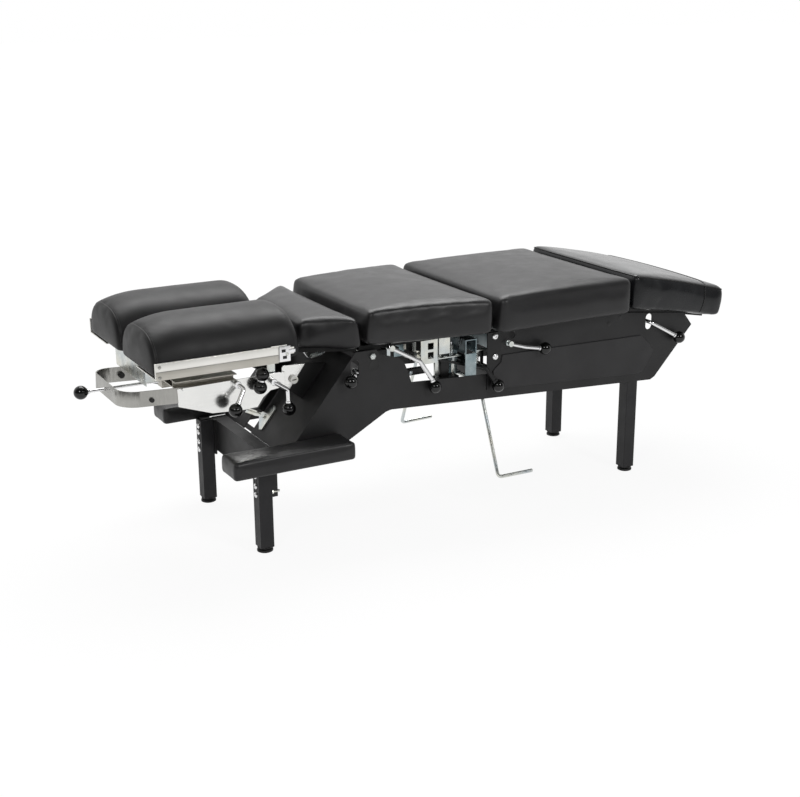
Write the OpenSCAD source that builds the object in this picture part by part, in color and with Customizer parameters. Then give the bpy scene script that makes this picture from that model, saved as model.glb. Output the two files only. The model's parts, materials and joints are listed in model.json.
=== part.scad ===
// Stationary treatment table with a tilting headpiece, three drop sections and a raising foot section.
// X runs from the head end to the foot end, Y across the table, Z up from the floor.
// Lengths along the table are counted from the front legs, and the whole is then centred on the origin.

/* [Frame] */
// Distance between the front and the rear legs
wheelbase = 1205; // [1160:5:1260]
// Width over the two side panels
frame_w = 421; // [405:1:440]
// Thickness of the folded sheet steel
sheet_t = 3; // [2:0.5:4]
// Height of the front crossbeam's top above the floor
beam_z = 250; // [235:1:275]
// Height of the front crossbeam's web
beam_h = 92; // [80:1:100]
// Width of the front crossbeam's top flange
beam_flange = 41; // [34:1:50]
// Angle of the sloped front panel from level
slope_a = 50.7; // [49:0.1:52]
// Length of the side panel's sloped front edge
slope_l = 330; // [320:1:345]
// Height of the strip that is left under the notch in each side panel
strip_h = 71; // [60:1:80]

/* [Legs] */
// Width of the square leg tube
leg_w = 38.1; // [32:0.1:44]
// Wall of the leg tube
leg_wall = 2.5; // [1.5:0.5:4]
// How far the front legs stand out beyond the side panels
leg_overhang = 13; // [6:1:18]
// Diameter of a levelling foot
foot_d = 43; // [34:1:50]
// Height of the gap between the floor and the leg tube
foot_gap = 13; // [11:0.5:18]

/* [Sections] */
// Length of the thoracic cushion
thoracic_l = 146; // [135:1:160]
// Length of the dorsal cushion
dorsal_l = 374; // [340:1:400]
// Length of the pelvic cushion
pelvic_l = 462; // [430:1:500]
// Length of the foot cushion along its base
foot_l = 354; // [330:1:390]
// Gap between neighbouring cushions
section_gap = 8; // [7:0.5:10]
// Thickness of the dorsal and pelvic cushions at their sides
cushion_t = 90; // [80:1:100]
// Thickness of the thoracic cushion at its head edge
thoracic_t = 74; // [68:1:80]
// Thickness of the foot cushion at its tail edge
foot_t = 86; // [76:1:92]
// Half width of the thoracic cushion at its head edge
thoracic_half = 160; // [150:1:170]
// Half width where the thoracic and the dorsal cushions meet
shoulder_half = 242; // [232:1:250]
// Half width of the pelvic cushion at its head edge
hip_half = 283; // [272:1:290]
// Half width of the foot cushion at its tail edge
foot_half = 258; // [246:1:268]
// Downward tilt of the foot section at rest
foot_a = 10.6; // [10:0.1:11.2]
// Thickness of the boards under the cushions
board_t = 12; // [9:1:15]

/* [Headpiece] */
// Length of a head cushion at its base
loaf_l = 383; // [350:1:386]
// Width of a head cushion at its base
loaf_w = 252; // [236:1:262]
// Height of a head cushion over its crown
loaf_h = 123; // [110:1:135]
// Gap between the two head cushions at their bases
face_gap = 20; // [14:1:30]
// Width over the outer faces of the polished side plates
head_w = 258; // [246:1:266]
// Diameter of a ball knob
knob_d = 36; // [30:1:38]
// Diameter of a chromed lever rod
lever_d = 10.5; // [8:0.5:11]

/* [Armrests] */
// Length of an armrest pad
arm_l = 330; // [300:1:350]
// Width of an armrest pad
arm_w = 93; // [80:1:105]
// Thickness of an armrest pad
arm_t = 45; // [36:1:52]

/* [Hidden] */

$fn = 48;
// Radial clearance of a pin in its bore
fit = 0.05;
// Gap that keeps a soft or sliding piece off its neighbour
seat = 0.3;
// How far a cutting shape runs past a face
overrun = 2;
rod_r = lever_d / 2;
knob_r = knob_d / 2;
// Fullness of a rod where it bends
bend_share = 1.06;
// Hub, pin and retaining head of a side lever
hub_r = 9;
hub_w = 12;
pin_r = 5;
pin_head_t = 3;

// Side panels and legs
panel_y = frame_w / 2;
inner_y = panel_y - sheet_t;
leg_plate_t = 5;
leg_plate_w = 30;
leg_plate_drop = 103;
leg_plate_tab = 17;
front_leg_y = panel_y + leg_overhang - leg_w / 2;
rear_leg_y = inner_y - leg_w / 2;
rear_leg_top = 420;
beam_x0 = leg_w / 2 + leg_plate_t;
beam_x1 = beam_x0 + beam_flange;
beam_lip = 12;
slope_top_x = beam_x1 + slope_l * cos(slope_a);
rail_z = beam_z + slope_l * sin(slope_a);
slope_trim = 14;

// Deck: the level underside of the section cushions
deck_gap = 0.6;
board_z = rail_z + deck_gap;
deck_z = board_z + board_t;
board_gap = 7.5;
board_half = inner_y - board_gap;
thoracic_x0 = slope_top_x - 138;
thoracic_x1 = thoracic_x0 + thoracic_l;
dorsal_x0 = thoracic_x1 + section_gap;
dorsal_x1 = dorsal_x0 + dorsal_l;
pelvic_x0 = dorsal_x1 + section_gap;
pelvic_x1 = pelvic_x0 + pelvic_l;
foot_x0 = pelvic_x1 + section_gap;
foot_z0 = deck_z + 9;

// Cross shafts of the sections
shaft_r = 6;
ear_r = 13;
ear_t = 6;
ear_in = board_half - ear_t - 1;
front_shaft_x = dorsal_x0 + 34;
front_shaft_z = rail_z - 16;
rear_shaft_x = pelvic_x1 - 28;
rear_shaft_z = rail_z - 28;
foot_shaft_x = foot_x0 + 3;
foot_shaft_z = rail_z - 14;
dorsal_drop_a = 1.2;
pelvic_drop_a = 1;
thoracic_drop_a = 2.5;

// Outline of the side panel
panel_lip = 28;
brace_x0 = 170;
brace_x1 = 372;
brace_z1 = 332;
tail_low_x = wheelbase + 65;
tail_low_z = 283;
tail_tip_x = foot_x0 + 277;
tail_tip_z = 436;
tail_top_x = foot_x0 + 245;
tail_top_z = 476;
notch_x0 = dorsal_x0 + 47;
notch_steps = [[0, 0], [11, -15], [69, -33], [83, -46], [96, -76]];
notch_low_x = notch_x0 + 106;
notch_x1 = pelvic_x0 + 20;
tail_rail_x = pelvic_x1 + 12;

// Height of the panel's lower edge at a place behind the brace
function low_z(x) = brace_z1 + (x - brace_x1) * (tail_low_z - brace_z1) / (tail_low_x - brace_x1);

// Head section
pivot_x = slope_top_x - 138;
pivot_z = rail_z - 76;
plate_y = head_w / 2;
plate_in = plate_y - sheet_t;
loaf_z0 = pivot_z + 101;
loaf_x1 = pivot_x - 48;
loaf_x0 = loaf_x1 - loaf_l;
pan_t = 5;
pan_z = loaf_z0 - pan_t - seat;

release_x = pivot_x - 538;

// Placing

module at_origin() {
    translate([-mid_x, 0, 0]) children();
}

module both_sides() {
    children();
    mirror([0, 1, 0]) children();
}

module on_slope() {
    translate([beam_x1, 0, beam_z]) rotate([0, -slope_a, 0]) children();
}

module on_foot() {
    translate([foot_x0, 0, foot_z0]) rotate([0, foot_a, 0]) children();
}

// A flat plate from its outline in x and z, between two distances across the table
module plate_xz(points, y0, y1) {
    translate([0, y1, 0]) rotate([90, 0, 0]) linear_extrude(y1 - y0) polygon(points);
}

module rod_y(x, z, r, y0, y1) {
    translate([x, y1, z]) rotate([90, 0, 0]) cylinder(r = r, h = y1 - y0);
}

module rod_x(y, z, r, x0, x1) {
    translate([x0, y, z]) rotate([0, 90, 0]) cylinder(r = r, h = x1 - x0);
}

module block(x0, x1, y0, y1, z0, z1) {
    translate([x0, y0, z0]) cube([x1 - x0, y1 - y0, z1 - z0]);
}

// A straight round bar from one point to another
module bar(a, b, r) {
    d = b - a;
    translate(a) rotate([0, acos(d[2] / norm(d)), atan2(d[1], d[0])]) cylinder(r = r, h = norm(d));
}

function unit(v) = v / norm(v);

// A bent rod through the points, a little full at its bends
module bent_rod(points, r) {
    n = len(points) - 1;
    for (i = [0 : n - 1]) bar(points[i], points[i + 1], r);
    if (n > 1) for (i = [1 : n - 1]) translate(points[i]) sphere(r = r * bend_share);
}

// Two straight rods that meet in a sleeve
module sleeved_rod(points, r) {
    reach = sleeve_reach * unit(points[2] - points[1]);
    bar(points[0], points[1], r);
    bar(points[1] - reach, points[1] + reach, r + sleeve_t);
    bar(points[1], points[2], r);
}
sleeve_reach = 5;
sleeve_t = 1.2;

module ball_knob(points) {
    translate(points[len(points) - 1]) sphere(r = knob_r);
}

// A lever hub on a pin across the table
module hub(x, z, y0, y1) {
    difference() {
        rod_y(x, z, hub_r, y0, y1);
        rod_y(x, z, pin_r + fit, y0 - overrun, y1 + overrun);
    }
}

module side_lever(points, y0, y1) {
    difference() {
        union() {
            rod_y(points[0][0], points[0][2], hub_r, y0, y1);
            if (len(points) > 3) bent_rod(points, rod_r); else sleeved_rod(points, rod_r);
        }
        rod_y(points[0][0], points[0][2], pin_r + fit, y0 - overrun, y1 + overrun);
    }
    ball_knob(points);
}

// An upright slot with round ends through a side panel
module slot_cut(x, z, w, h) {
    for (s = [-1, 1]) rod_y(x, z + s * (h - w) / 2, w / 2, -panel_y - overrun, panel_y + overrun);
    block(x - w / 2, x + w / 2, -panel_y - overrun, panel_y + overrun, z - (h - w) / 2, z + (h - w) / 2);
}

// Upholstered pads

// A pad is a stack of rings, each a list of points with the same count, skinned and closed
module skin(rings) {
    n = len(rings[0]);
    last = len(rings) - 1;
    points = concat([for (ring = rings) each ring], [middle(rings[0]), middle(rings[last])]);
    low = len(points) - 2;
    high = len(points) - 1;
    faces = concat(
        [for (j = [0 : last - 1]) for (i = [0 : n - 1]) let(a = j * n + i, b = j * n + (i + 1) % n)
            each [[a, a + n, b + n], [a, b + n, b]]],
        [for (i = [0 : n - 1]) [low, i, (i + 1) % n]],
        [for (i = [0 : n - 1]) [high, last * n + (i + 1) % n, last * n + i]]);
    polyhedron(points, faces, convexity = 4);
}

function middle(ring) = [for (k = [0 : 2]) (min([for (p = ring) p[k]]) + max([for (p = ring) p[k]])) / 2];

corner_steps = 3;
long_steps = 5;
short_steps = 3;

function arc(cx, cy, r, a0) = [for (i = [0 : corner_steps]) let(a = a0 + 90 * i / corner_steps)
    [cx + r * cos(a), cy + r * sin(a)]];
// Points between two corners, drawn in most at the middle
function side(a, b, steps, pull) = [for (i = [1 : steps]) let(t = i / (steps + 1), s = 4 * t * (1 - t))
    a + (b - a) * t + pull * s];

// A closed outline: x0 and x1 are its ends, h0 and h1 its half widths there
function outline(x0, x1, h0, h1, r, pull) = concat(
    arc(x1 - r, h1 - r, r, 0), side([x1 - r, h1], [x0 + r, h0], long_steps, [0, -pull]),
    arc(x0 + r, h0 - r, r, 90), side([x0, h0 - r], [x0, r - h0], short_steps, [pull / 2, 0]),
    arc(x0 + r, r - h0, r, 180), side([x0 + r, -h0], [x1 - r, -h1], long_steps, [0, pull]),
    arc(x1 - r, r - h1, r, 270), side([x1, r - h1], [x1, h1 - r], short_steps, [-pull / 2, 0]));

// Levels of a seat pad: how far up the side, the height from there, the inset, the way in to the middle
under_share = 0.3;
belly_share = 0.15;
crown_steps = 3;
least_corner = 4;
function pad_levels(edge, crown) = concat(
    [[0, 0, edge * under_share, 0], [0, edge * under_share, 0, 0], [1 / 2, 0, -edge * belly_share, 0]],
    [for (a = [0 : 30 : 90]) [1, -edge * (1 - sin(a)), edge * (1 - cos(a)), 0]],
    [for (k = [1 : crown_steps]) let(q = k / (crown_steps + 1)) [1, crown * (1 - pow(1 - q, 2)), edge, q]]);

function mix(a, b, t) = a + (b - a) * t;

// Rings of a pad. It runs from x0 to x1, its half widths there are h[0] and h[1], its thicknesses t[0]
// and t[1], and its sides start u[0] and u[1] above its underside, which is drawn in by under. Its top
// is arched lengthwise, and lean[0] and lean[1] move the tops of its ends towards the head end
function pad_rings(x0, x1, h, t, u, under, arch, crown, z0 = 0, lean = [0, 0]) = concat(
    [[for (p = outline(x0 + under, x1 - under, h[0] - under, h[1] - under, pad_corner, 0))
        [p[0], p[1], z0]]],
    [for (v = pad_levels(pad_edge, crown)) let(
        in_x = v[2] + ((x1 - x0) / 2 - v[2]) * v[3],
        in_0 = (h[0] - v[2]) * v[3] + v[2],
        in_1 = (h[1] - v[2]) * v[3] + v[2],
        ring = outline(x0 + in_x - lean[0] * v[0], x1 - in_x - lean[1] * v[0], h[0] - in_0, h[1] - in_1,
            max(pad_corner - v[2], least_corner) * (1 - v[3]), pad_pull * (1 - v[3])))
        [for (p = ring) let(w = (p[0] - x0) / (x1 - x0), low = mix(u[0], u[1], w),
            high = mix(t[0], t[1], w) + arch * 4 * w * (1 - w))
            [p[0], p[1], z0 + mix(low, high, v[0]) + v[1]]]]);

pad_corner = 16;
pad_edge = 12;
pad_crown = 8;
pad_pull = 3;

foot_lean = 8;
foot_head_rise = 15;
function foot_rings() = pad_rings(0, foot_l, [hip_half - 15, foot_half], [foot_t + foot_head_rise, foot_t],
    [2, 2], 6, 6, pad_crown, 0, [foot_lean, 0]);
function foot_points() = [for (ring = foot_rings()) each ring];

// Frame

module side_panel() {
    color("dimgray") difference() {
        plate_xz([[beam_x0, beam_z - panel_lip], [beam_x0, beam_z], [beam_x1, beam_z],
            [slope_top_x, rail_z], each [for (p = notch_steps) [notch_x0 + p[0], rail_z + p[1]]],
            [notch_low_x, low_z(notch_low_x) + strip_h],
            [notch_x1, low_z(notch_x1) + strip_h], [notch_x1, rail_z], [tail_rail_x, rail_z],
            [tail_top_x, tail_top_z], [tail_tip_x, tail_tip_z],
            [tail_low_x + tail_round, tail_low_z + tail_round / 2], [tail_low_x, tail_low_z],
            [brace_x1 + tail_round / 2, low_z(brace_x1 + tail_round / 2)],
            [brace_x1 - tail_round / 2, brace_z1 - tail_round / 4],
            [brace_x0, beam_z - panel_lip]], -panel_y, -inner_y);
        for (p = shaft_places) rod_y(p[0], p[1], shaft_r + fit, -panel_y - overrun, overrun);
        rod_y(pedal_x, pedal_z, shaft_r + fit, -panel_y - overrun, overrun);
        slot_cut(oval_x, oval_z, oval_w, oval_h);
        slot_cut(tail_oval_x, tail_oval_z, tail_oval_w, tail_oval_h);
        rod_y(port_x, port_z, port_r, -panel_y - overrun, overrun);
        rod_y(panel_plug_x, panel_plug_z, panel_plug_r, -panel_y - overrun, overrun);
    }
}
tail_round = 16;
shaft_places = [[front_shaft_x, front_shaft_z], [rear_shaft_x, rear_shaft_z],
    [foot_shaft_x, foot_shaft_z]];
// Slot for the thoracic lever
oval_x = front_shaft_x - 52;
oval_z = rail_z - 44;
oval_w = 24;
oval_h = 50;
// Slot for the foot lever
tail_oval_x = foot_x0 + 111;
tail_oval_z = rail_z - 40;
tail_oval_w = 23;
tail_oval_h = 48;
// Access port beside the lever plate
port_x = pelvic_x0 + 95;
port_z = rail_z - 16;
port_r = 11;

module side_panel_near() side_panel();
module side_panel_far() mirror([0, 1, 0]) side_panel();

slot_y = 48;
slot_w = 50;
slot_s0 = 0;
slot_s1 = slope_l - 180;
module front_panel() {
    color("dimgray") difference() {
        on_slope() block(0, slope_l - slope_trim, -inner_y, inner_y, -sheet_t, 0);
        on_slope() block(slot_s0 - overrun, slot_s1, slot_y - slot_w / 2, slot_y + slot_w / 2,
            -sheet_t - overrun, overrun);
        block(0, beam_x1, -panel_y, panel_y, beam_z - beam_h, beam_z + overrun);
    }
}

module front_crossbeam() {
    color("dimgray") {
        difference() {
            block(beam_x0, beam_x1, -inner_y, inner_y, beam_z - beam_h, beam_z);
            block(beam_x0 + sheet_t, beam_x1 + overrun, -panel_y, panel_y,
                beam_z - beam_h + sheet_t, beam_z - sheet_t);
            block(beam_x0 + beam_lip, beam_x1 + overrun, -panel_y, panel_y,
                beam_z - beam_h - overrun, beam_z - sheet_t);
        }
        both_sides() {
            block(leg_w / 2, beam_x0, inner_y - leg_plate_w, inner_y, beam_z - leg_plate_drop, beam_z);
            block(beam_x0, beam_x0 + leg_plate_tab, inner_y - sheet_t, inner_y,
                beam_z - leg_plate_drop, beam_z);
        }
    }
}

cross_w = 40;
cross_h = 46;
module channel(x0, x1, half, z0, z1) {
    difference() {
        block(x0, x1, -half, half, z0, z1);
        block(x0 + sheet_t, x1 - sheet_t, -half - overrun, half + overrun, z0 - overrun, z1 - sheet_t);
    }
}
module rear_crossmember() {
    color("dimgray") channel(wheelbase - leg_w / 2, wheelbase + leg_w / 2, rear_leg_y - leg_w / 2,
        rear_leg_top - 2 * cross_h, rear_leg_top - cross_h);
}
module mid_crossmembers() {
    color("dimgray") for (x = [notch_low_x - 70, notch_x1 + cross_w])
        channel(x, x + cross_w, inner_y, low_z(x) + cross_w / 4, low_z(x) + cross_w / 4 + cross_h);
}

leg_bolt_drops = [18, 37, 65, 89];
bolt_r = 4;
bolt_head_r = 6.5;
bolt_head_t = 4;
bolt_reach = 8.5;
module leg(x, y, top) {
    difference() {
        block(x - leg_w / 2, x + leg_w / 2, y - leg_w / 2, y + leg_w / 2, foot_gap, top);
        block(x - leg_w / 2 + leg_wall, x + leg_w / 2 - leg_wall, y - leg_w / 2 + leg_wall,
            y + leg_w / 2 - leg_wall, foot_gap - overrun, top + overrun);
    }
}
module front_leg_near() {
    color([0.16, 0.16, 0.17]) difference() {
        leg(0, -front_leg_y, beam_z);
        for (d = leg_bolt_drops) rod_x(-front_leg_y, beam_z - d, bolt_r + fit, -leg_w, 0);
    }
}
module front_leg_far() mirror([0, 1, 0]) front_leg_near();
module rear_leg_near() {
    color([0.16, 0.16, 0.17]) leg(wheelbase, -rear_leg_y, rear_leg_top);
}
module rear_leg_far() mirror([0, 1, 0]) rear_leg_near();

leg_places = [[0, -front_leg_y], [0, front_leg_y], [wheelbase, -rear_leg_y], [wheelbase, rear_leg_y]];
foot_disc_t = 7;
foot_cone_t = 3;
stud_r = 5;
stud_reach = 26;
plug_t = 14;
module levelling_feet() {
    color([0.1, 0.1, 0.1]) for (p = leg_places) translate([p[0], p[1], 0]) {
        cylinder(r = foot_d / 2, h = foot_disc_t);
        translate([0, 0, foot_disc_t]) cylinder(r = foot_d / 4, h = foot_cone_t);
        cylinder(r = stud_r, h = foot_gap + stud_reach);
    }
}
post_r = 8;
bore_plug_w = leg_w - 2 * leg_wall;
module square_plug(p, z0, z1, r) {
    difference() {
        block(p[0] - bore_plug_w / 2, p[0] + bore_plug_w / 2, p[1] - bore_plug_w / 2,
            p[1] + bore_plug_w / 2, z0, z1);
        if (r > 0) translate([p[0], p[1], z0 - overrun]) cylinder(r = r, h = z1 - z0 + 2 * overrun);
    }
}
// Recessed plug in each side panel
panel_plug_r = 14;
panel_plug_x = front_shaft_x + 5;
panel_plug_z = rail_z - 44;
// Pad at the foot of the sloped panel's slot
slot_pad_s = 17;
module end_plugs() {
    color([0.08, 0.08, 0.08]) {
        for (p = leg_places) square_plug(p, foot_gap, foot_gap + plug_t, stud_r + fit);
        for (i = [0, 1]) square_plug(leg_places[i], beam_z - plug_t, beam_z, post_r + fit);
        for (i = [2, 3]) square_plug(leg_places[i], rear_leg_top - plug_t, rear_leg_top, 0);
        both_sides() {
            rod_y(panel_plug_x, panel_plug_z, panel_plug_r + sheet_t, -inner_y, sheet_t - inner_y);
            rod_y(panel_plug_x, panel_plug_z, panel_plug_r - fit, -panel_y + sheet_t / 2, -inner_y);
        }
        on_slope() block(sheet_t, slot_pad_s, slot_y - slot_w / 2, slot_y + slot_w / 2,
            -sheet_t, -sheet_t / 3);
    }
}

// A domed bolt head on the near panel side, facing away from it
module dome(x, z, y, r, t) {
    ball_r = (r * r + t * t) / (2 * t);
    intersection() {
        translate([x, y - t + ball_r, z]) sphere(r = ball_r);
        rod_y(x, z, r, y - t, y);
    }
}
lever_plate_t = 4;
plate_bolt_r = 9.5;
plate_bolt_t = 4.5;
plate_bolts = [[pelvic_x0 + 36, rail_z - 12], [pelvic_x0 + 37, rail_z - 71]];
module frame_bolts() {
    color([0.78, 0.79, 0.8]) {
        both_sides() for (d = leg_bolt_drops) {
            rod_x(-front_leg_y, beam_z - d, bolt_head_r, -leg_w / 2 - bolt_head_t, -leg_w / 2);
            rod_x(-front_leg_y, beam_z - d, bolt_r, -leg_w / 2, -leg_w / 2 + bolt_reach);
        }
        for (b = plate_bolts) dome(b[0], b[1], -panel_y - lever_plate_t, plate_bolt_r, plate_bolt_t);
        both_sides() dome(beam_x0 + beam_lip, beam_z - beam_lip, -panel_y, bolt_head_r, bolt_head_t);
    }
}

cover_t = 3;
cover_x0 = notch_x1 + 12;
cover_x1 = tail_low_x - 45;
cover_tip = 48;
cover_margin = 24;
cover_top_z = rail_z - 70;
module side_covers() {
    color([0.17, 0.17, 0.18]) both_sides() plate_xz([
        [cover_x0 + 38, low_z(cover_x0) + cover_margin], [cover_x0 + 3, cover_top_z - 66],
        [cover_x0, cover_top_z - 42], [cover_x0 + 26, cover_top_z - 20], [cover_x0 + 30, cover_top_z],
        [cover_x0 + 150, cover_top_z - 1], [cover_x1, cover_top_z - 8],
        [cover_x1 + 30, cover_top_z - 34], [cover_x1 + cover_tip, cover_top_z - 60],
        [cover_x1 + cover_tip - 4, cover_top_z - 72], [cover_x1 + 14, low_z(cover_x1) + 32],
        [cover_x1 - 4, low_z(cover_x1) + cover_margin]], -panel_y - cover_t, -panel_y);
}

plate_w = 52;
plate_foot_w = 11;
module lever_plate() {
    color([0.09, 0.09, 0.1]) plate_xz([[notch_x1 - 9, rail_z], [notch_x1 - 9, rail_z - 165],
        [notch_x1 - 9 + plate_foot_w, rail_z - 165], [notch_x1 - 9 + 15, rail_z - 113],
        [notch_x1 - 9 + 40, rail_z - 87], [notch_x1 - 9 + plate_w, rail_z]],
        -panel_y - lever_plate_t, -panel_y);
}

nut_r = 9;
nut_t = 7;
module cross_shafts() {
    color([0.72, 0.73, 0.75]) {
        for (p = shaft_places) rod_y(p[0], p[1], shaft_r, -panel_y, panel_y);
        both_sides() rod_y(front_shaft_x, front_shaft_z, nut_r, -panel_y - nut_t, -panel_y);
    }
}

// Levers: the points that each rod runs through, from its hub to its knob
out_y = -panel_y - 9;
thoracic_lever_points = [[oval_x + 31, 18.5 - inner_y, oval_z - 19],
    [oval_x + 2, 15 - inner_y, oval_z - 7], [oval_x - 5, out_y - 2, oval_z - 13],
    [oval_x - 24, out_y - 16, oval_z - 26]];
dorsal_lever_points = [[dorsal_x0 + 85, out_y - 1, board_z + 1],
    [dorsal_x0 + 172, out_y - 4, rail_z - 47], [dorsal_x0 + 207, out_y - 8, rail_z - 101],
    [dorsal_x0 + 216, out_y - 10, rail_z - 124]];
tension_lever_points = [[pelvic_x0 - 48, 92.5 - panel_y, rail_z - 93],
    [pelvic_x0 - 2, out_y - 3, rail_z - 93], [pelvic_x0 + 6, out_y - 10, rail_z - 106],
    [pelvic_x0 + 36, out_y - 14, rail_z - 150]];
pelvic_lever_points = [[port_x - 15, out_y - 2, rail_z - 37], [port_x + 34, out_y - 8, rail_z - 52],
    [port_x + 98, out_y - 13, rail_z - 64]];
foot_lever_points = [[tail_oval_x - 40, 15.5 - inner_y, tail_oval_z + 4],
    [tail_oval_x - 6, 15.5 - inner_y, tail_oval_z + 2], [tail_oval_x + 3, out_y - 2, tail_oval_z - 2],
    [tail_oval_x + 102, out_y - 12, tail_oval_z - 57]];
inner_pin_y0 = 8 - inner_y;

module lever_pins() {
    color([0.72, 0.73, 0.75]) {
        for (p = [thoracic_lever_points[0], foot_lever_points[0]]) {
            rod_y(p[0], p[2], pin_r, -inner_y, p[1] + hub_w / 2 + seat + pin_head_t);
            rod_y(p[0], p[2], pin_r + 3, p[1] + hub_w / 2 + seat, p[1] + hub_w / 2 + seat + pin_head_t);
            rod_y(p[0], p[2], pin_r + 3, -inner_y, p[1] - hub_w / 2 - seat);
        }
        outer_pin(pelvic_lever_points[0], -panel_y);
        outer_pin(dorsal_lever_points[0], -inner_y);
        block(dorsal_lever_points[0][0] - pin_r, dorsal_lever_points[0][0] + pin_r, -inner_y,
            pin_head_t - inner_y, rail_z - 60, dorsal_lever_points[0][2] + pin_r);
    }
}
// A pin with a head and a collar, from a base outwards
module outer_pin(p, base_y) {
    rod_y(p[0], p[2], pin_r, p[1] - hub_w / 2 - seat - pin_head_t, base_y);
    rod_y(p[0], p[2], pin_r + 3, p[1] - hub_w / 2 - seat - pin_head_t, p[1] - hub_w / 2 - seat);
    rod_y(p[0], p[2], pin_r + 3, p[1] + hub_w / 2 + seat, base_y);
}
module hub_lever(points) {
    side_lever(points, points[0][1] - hub_w / 2, points[0][1] + hub_w / 2);
}
module thoracic_lever() {
    color([0.8, 0.8, 0.82]) hub_lever(thoracic_lever_points);
}
module dorsal_lever() {
    color([0.8, 0.8, 0.82]) hub_lever(dorsal_lever_points);
}
module pelvic_lever() {
    color([0.8, 0.8, 0.82]) hub_lever(pelvic_lever_points);
}
module foot_lever() {
    color([0.8, 0.8, 0.82]) hub_lever(foot_lever_points);
}
module tension_lever() {
    color([0.08, 0.08, 0.08]) {
        bent_rod(tension_lever_points, rod_r);
        ball_knob(tension_lever_points);
    }
}

// Drop mechanism between the panels
drop_channel_h = 40;
drop_channel_z = rail_z - 53;
dorsal_stop_x = pelvic_x0 - 56;
pelvic_stop_x = notch_x1 + 12;
stop_w = 36;
module drop_channels() {
    color([0.75, 0.77, 0.78]) {
        for (x = [dorsal_stop_x, pelvic_stop_x])
            channel(x, x + stop_w, inner_y, drop_channel_z, drop_channel_z + drop_channel_h);
        both_sides() block(dorsal_stop_x, dorsal_stop_x + stop_w, -inner_y, sheet_t - inner_y,
            low_z(dorsal_stop_x) + strip_h - 45, drop_channel_z);
    }
}
bumper_r = 9;
bumper_y = 120;
module stop_bumpers() {
    color([0.05, 0.05, 0.05]) both_sides() {
        translate([dorsal_stop_x + stop_w / 2, bumper_y, drop_channel_z + drop_channel_h]) cylinder(
            r = bumper_r, h = board_z - drop_channel_z - drop_channel_h - 2 * seat
                - (dorsal_stop_x + stop_w / 2 + bumper_r - front_shaft_x) * sin(dorsal_drop_a));
        translate([pelvic_stop_x + stop_w / 2, bumper_y, drop_channel_z + drop_channel_h]) cylinder(
            r = bumper_r, h = board_z - drop_channel_z - drop_channel_h - 2 * seat
                - (rear_shaft_x - pelvic_stop_x - stop_w / 2 + bumper_r) * sin(pelvic_drop_a));
    }
}
cam_x0 = dorsal_stop_x - 22;
cam_w = 36;
cam_drop = 74;
cam_flange = 12;
module cam_housing() {
    p = tension_lever_points;
    color([0.09, 0.09, 0.1]) difference() {
        union() {
            block(cam_x0, cam_x0 + cam_w, p[0][1] - 22, p[0][1] + 14,
                drop_channel_z - cam_drop, drop_channel_z);
            block(cam_x0 - cam_flange, cam_x0 + cam_w + cam_flange, p[0][1] - 22, p[0][1] + 14,
                drop_channel_z - cam_drop, drop_channel_z - cam_drop + cam_flange / 2);
        }
        bar(p[0] - unit(p[1] - p[0]) * seat, p[1], rod_r + fit);
    }
}

// Clamp bracket on the sloped panel: a plate beside the slot and a lipped bar across it
clamp_t = 4;
clamp_lip = 12;
clamp_s = 54;
clamp_y = 110;
arm_y0 = 18;
arm_w0 = 20;
arm_h0 = 5;
arm_s0 = 68;
module clamp_bracket() {
    color([0.75, 0.77, 0.78]) on_slope() {
        linear_extrude(clamp_t) polygon([[clamp_s - 33, -12], [clamp_s - 29, -25],
            [clamp_s + 38, -25], [clamp_s + 45, -10], [clamp_s + 8, arm_y0 + 12],
            [clamp_s + 4, clamp_y / 2], [clamp_s - 4, clamp_y], [clamp_s - 16, clamp_y],
            [clamp_s - 8, clamp_y / 2], [clamp_s - 2, arm_y0 + 12]]);
        translate([0, 0, clamp_t]) linear_extrude(clamp_lip - clamp_t) polygon([
            [clamp_s + 6, arm_y0 + arm_w0 + seat], [clamp_s + 4, clamp_y / 2], [clamp_s - 4, clamp_y],
            [clamp_s - 7, clamp_y], [clamp_s + 1, clamp_y / 2], [clamp_s + 3, arm_y0 + arm_w0 + seat]]);
        translate([clamp_s + 5, 4, clamp_t]) cylinder(r = bolt_head_r, h = bolt_head_t);
    }
}

// Section frames and cushions

// A frame board with ears that carry a cross shaft; arm is how far the ear reaches back from x0
module section_frame(x0, x1, half0, half1, ear_y, shaft_x, shaft_z, root_x0, root_x1) {
    difference() {
        union() {
            translate([0, 0, board_z]) linear_extrude(board_t) polygon([[x0, -half0], [x1, -half1],
                [x1, half1], [x0, half0]]);
            both_sides() {
                rod_y(shaft_x, shaft_z, ear_r, ear_y, ear_y + ear_t);
                plate_xz([[root_x0, board_z + board_t / 2], [root_x1, board_z + board_t / 2],
                    [root_x1, board_z - 4],
                    [shaft_x + ear_r * cos(60), shaft_z + ear_r * sin(60)],
                    [shaft_x, shaft_z], [shaft_x - ear_r * cos(60), shaft_z - ear_r * sin(60)],
                    [root_x0, board_z]], ear_y, ear_y + ear_t);
            }
        }
        rod_y(shaft_x, shaft_z, shaft_r + fit, -panel_y, panel_y);
    }
}

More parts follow.
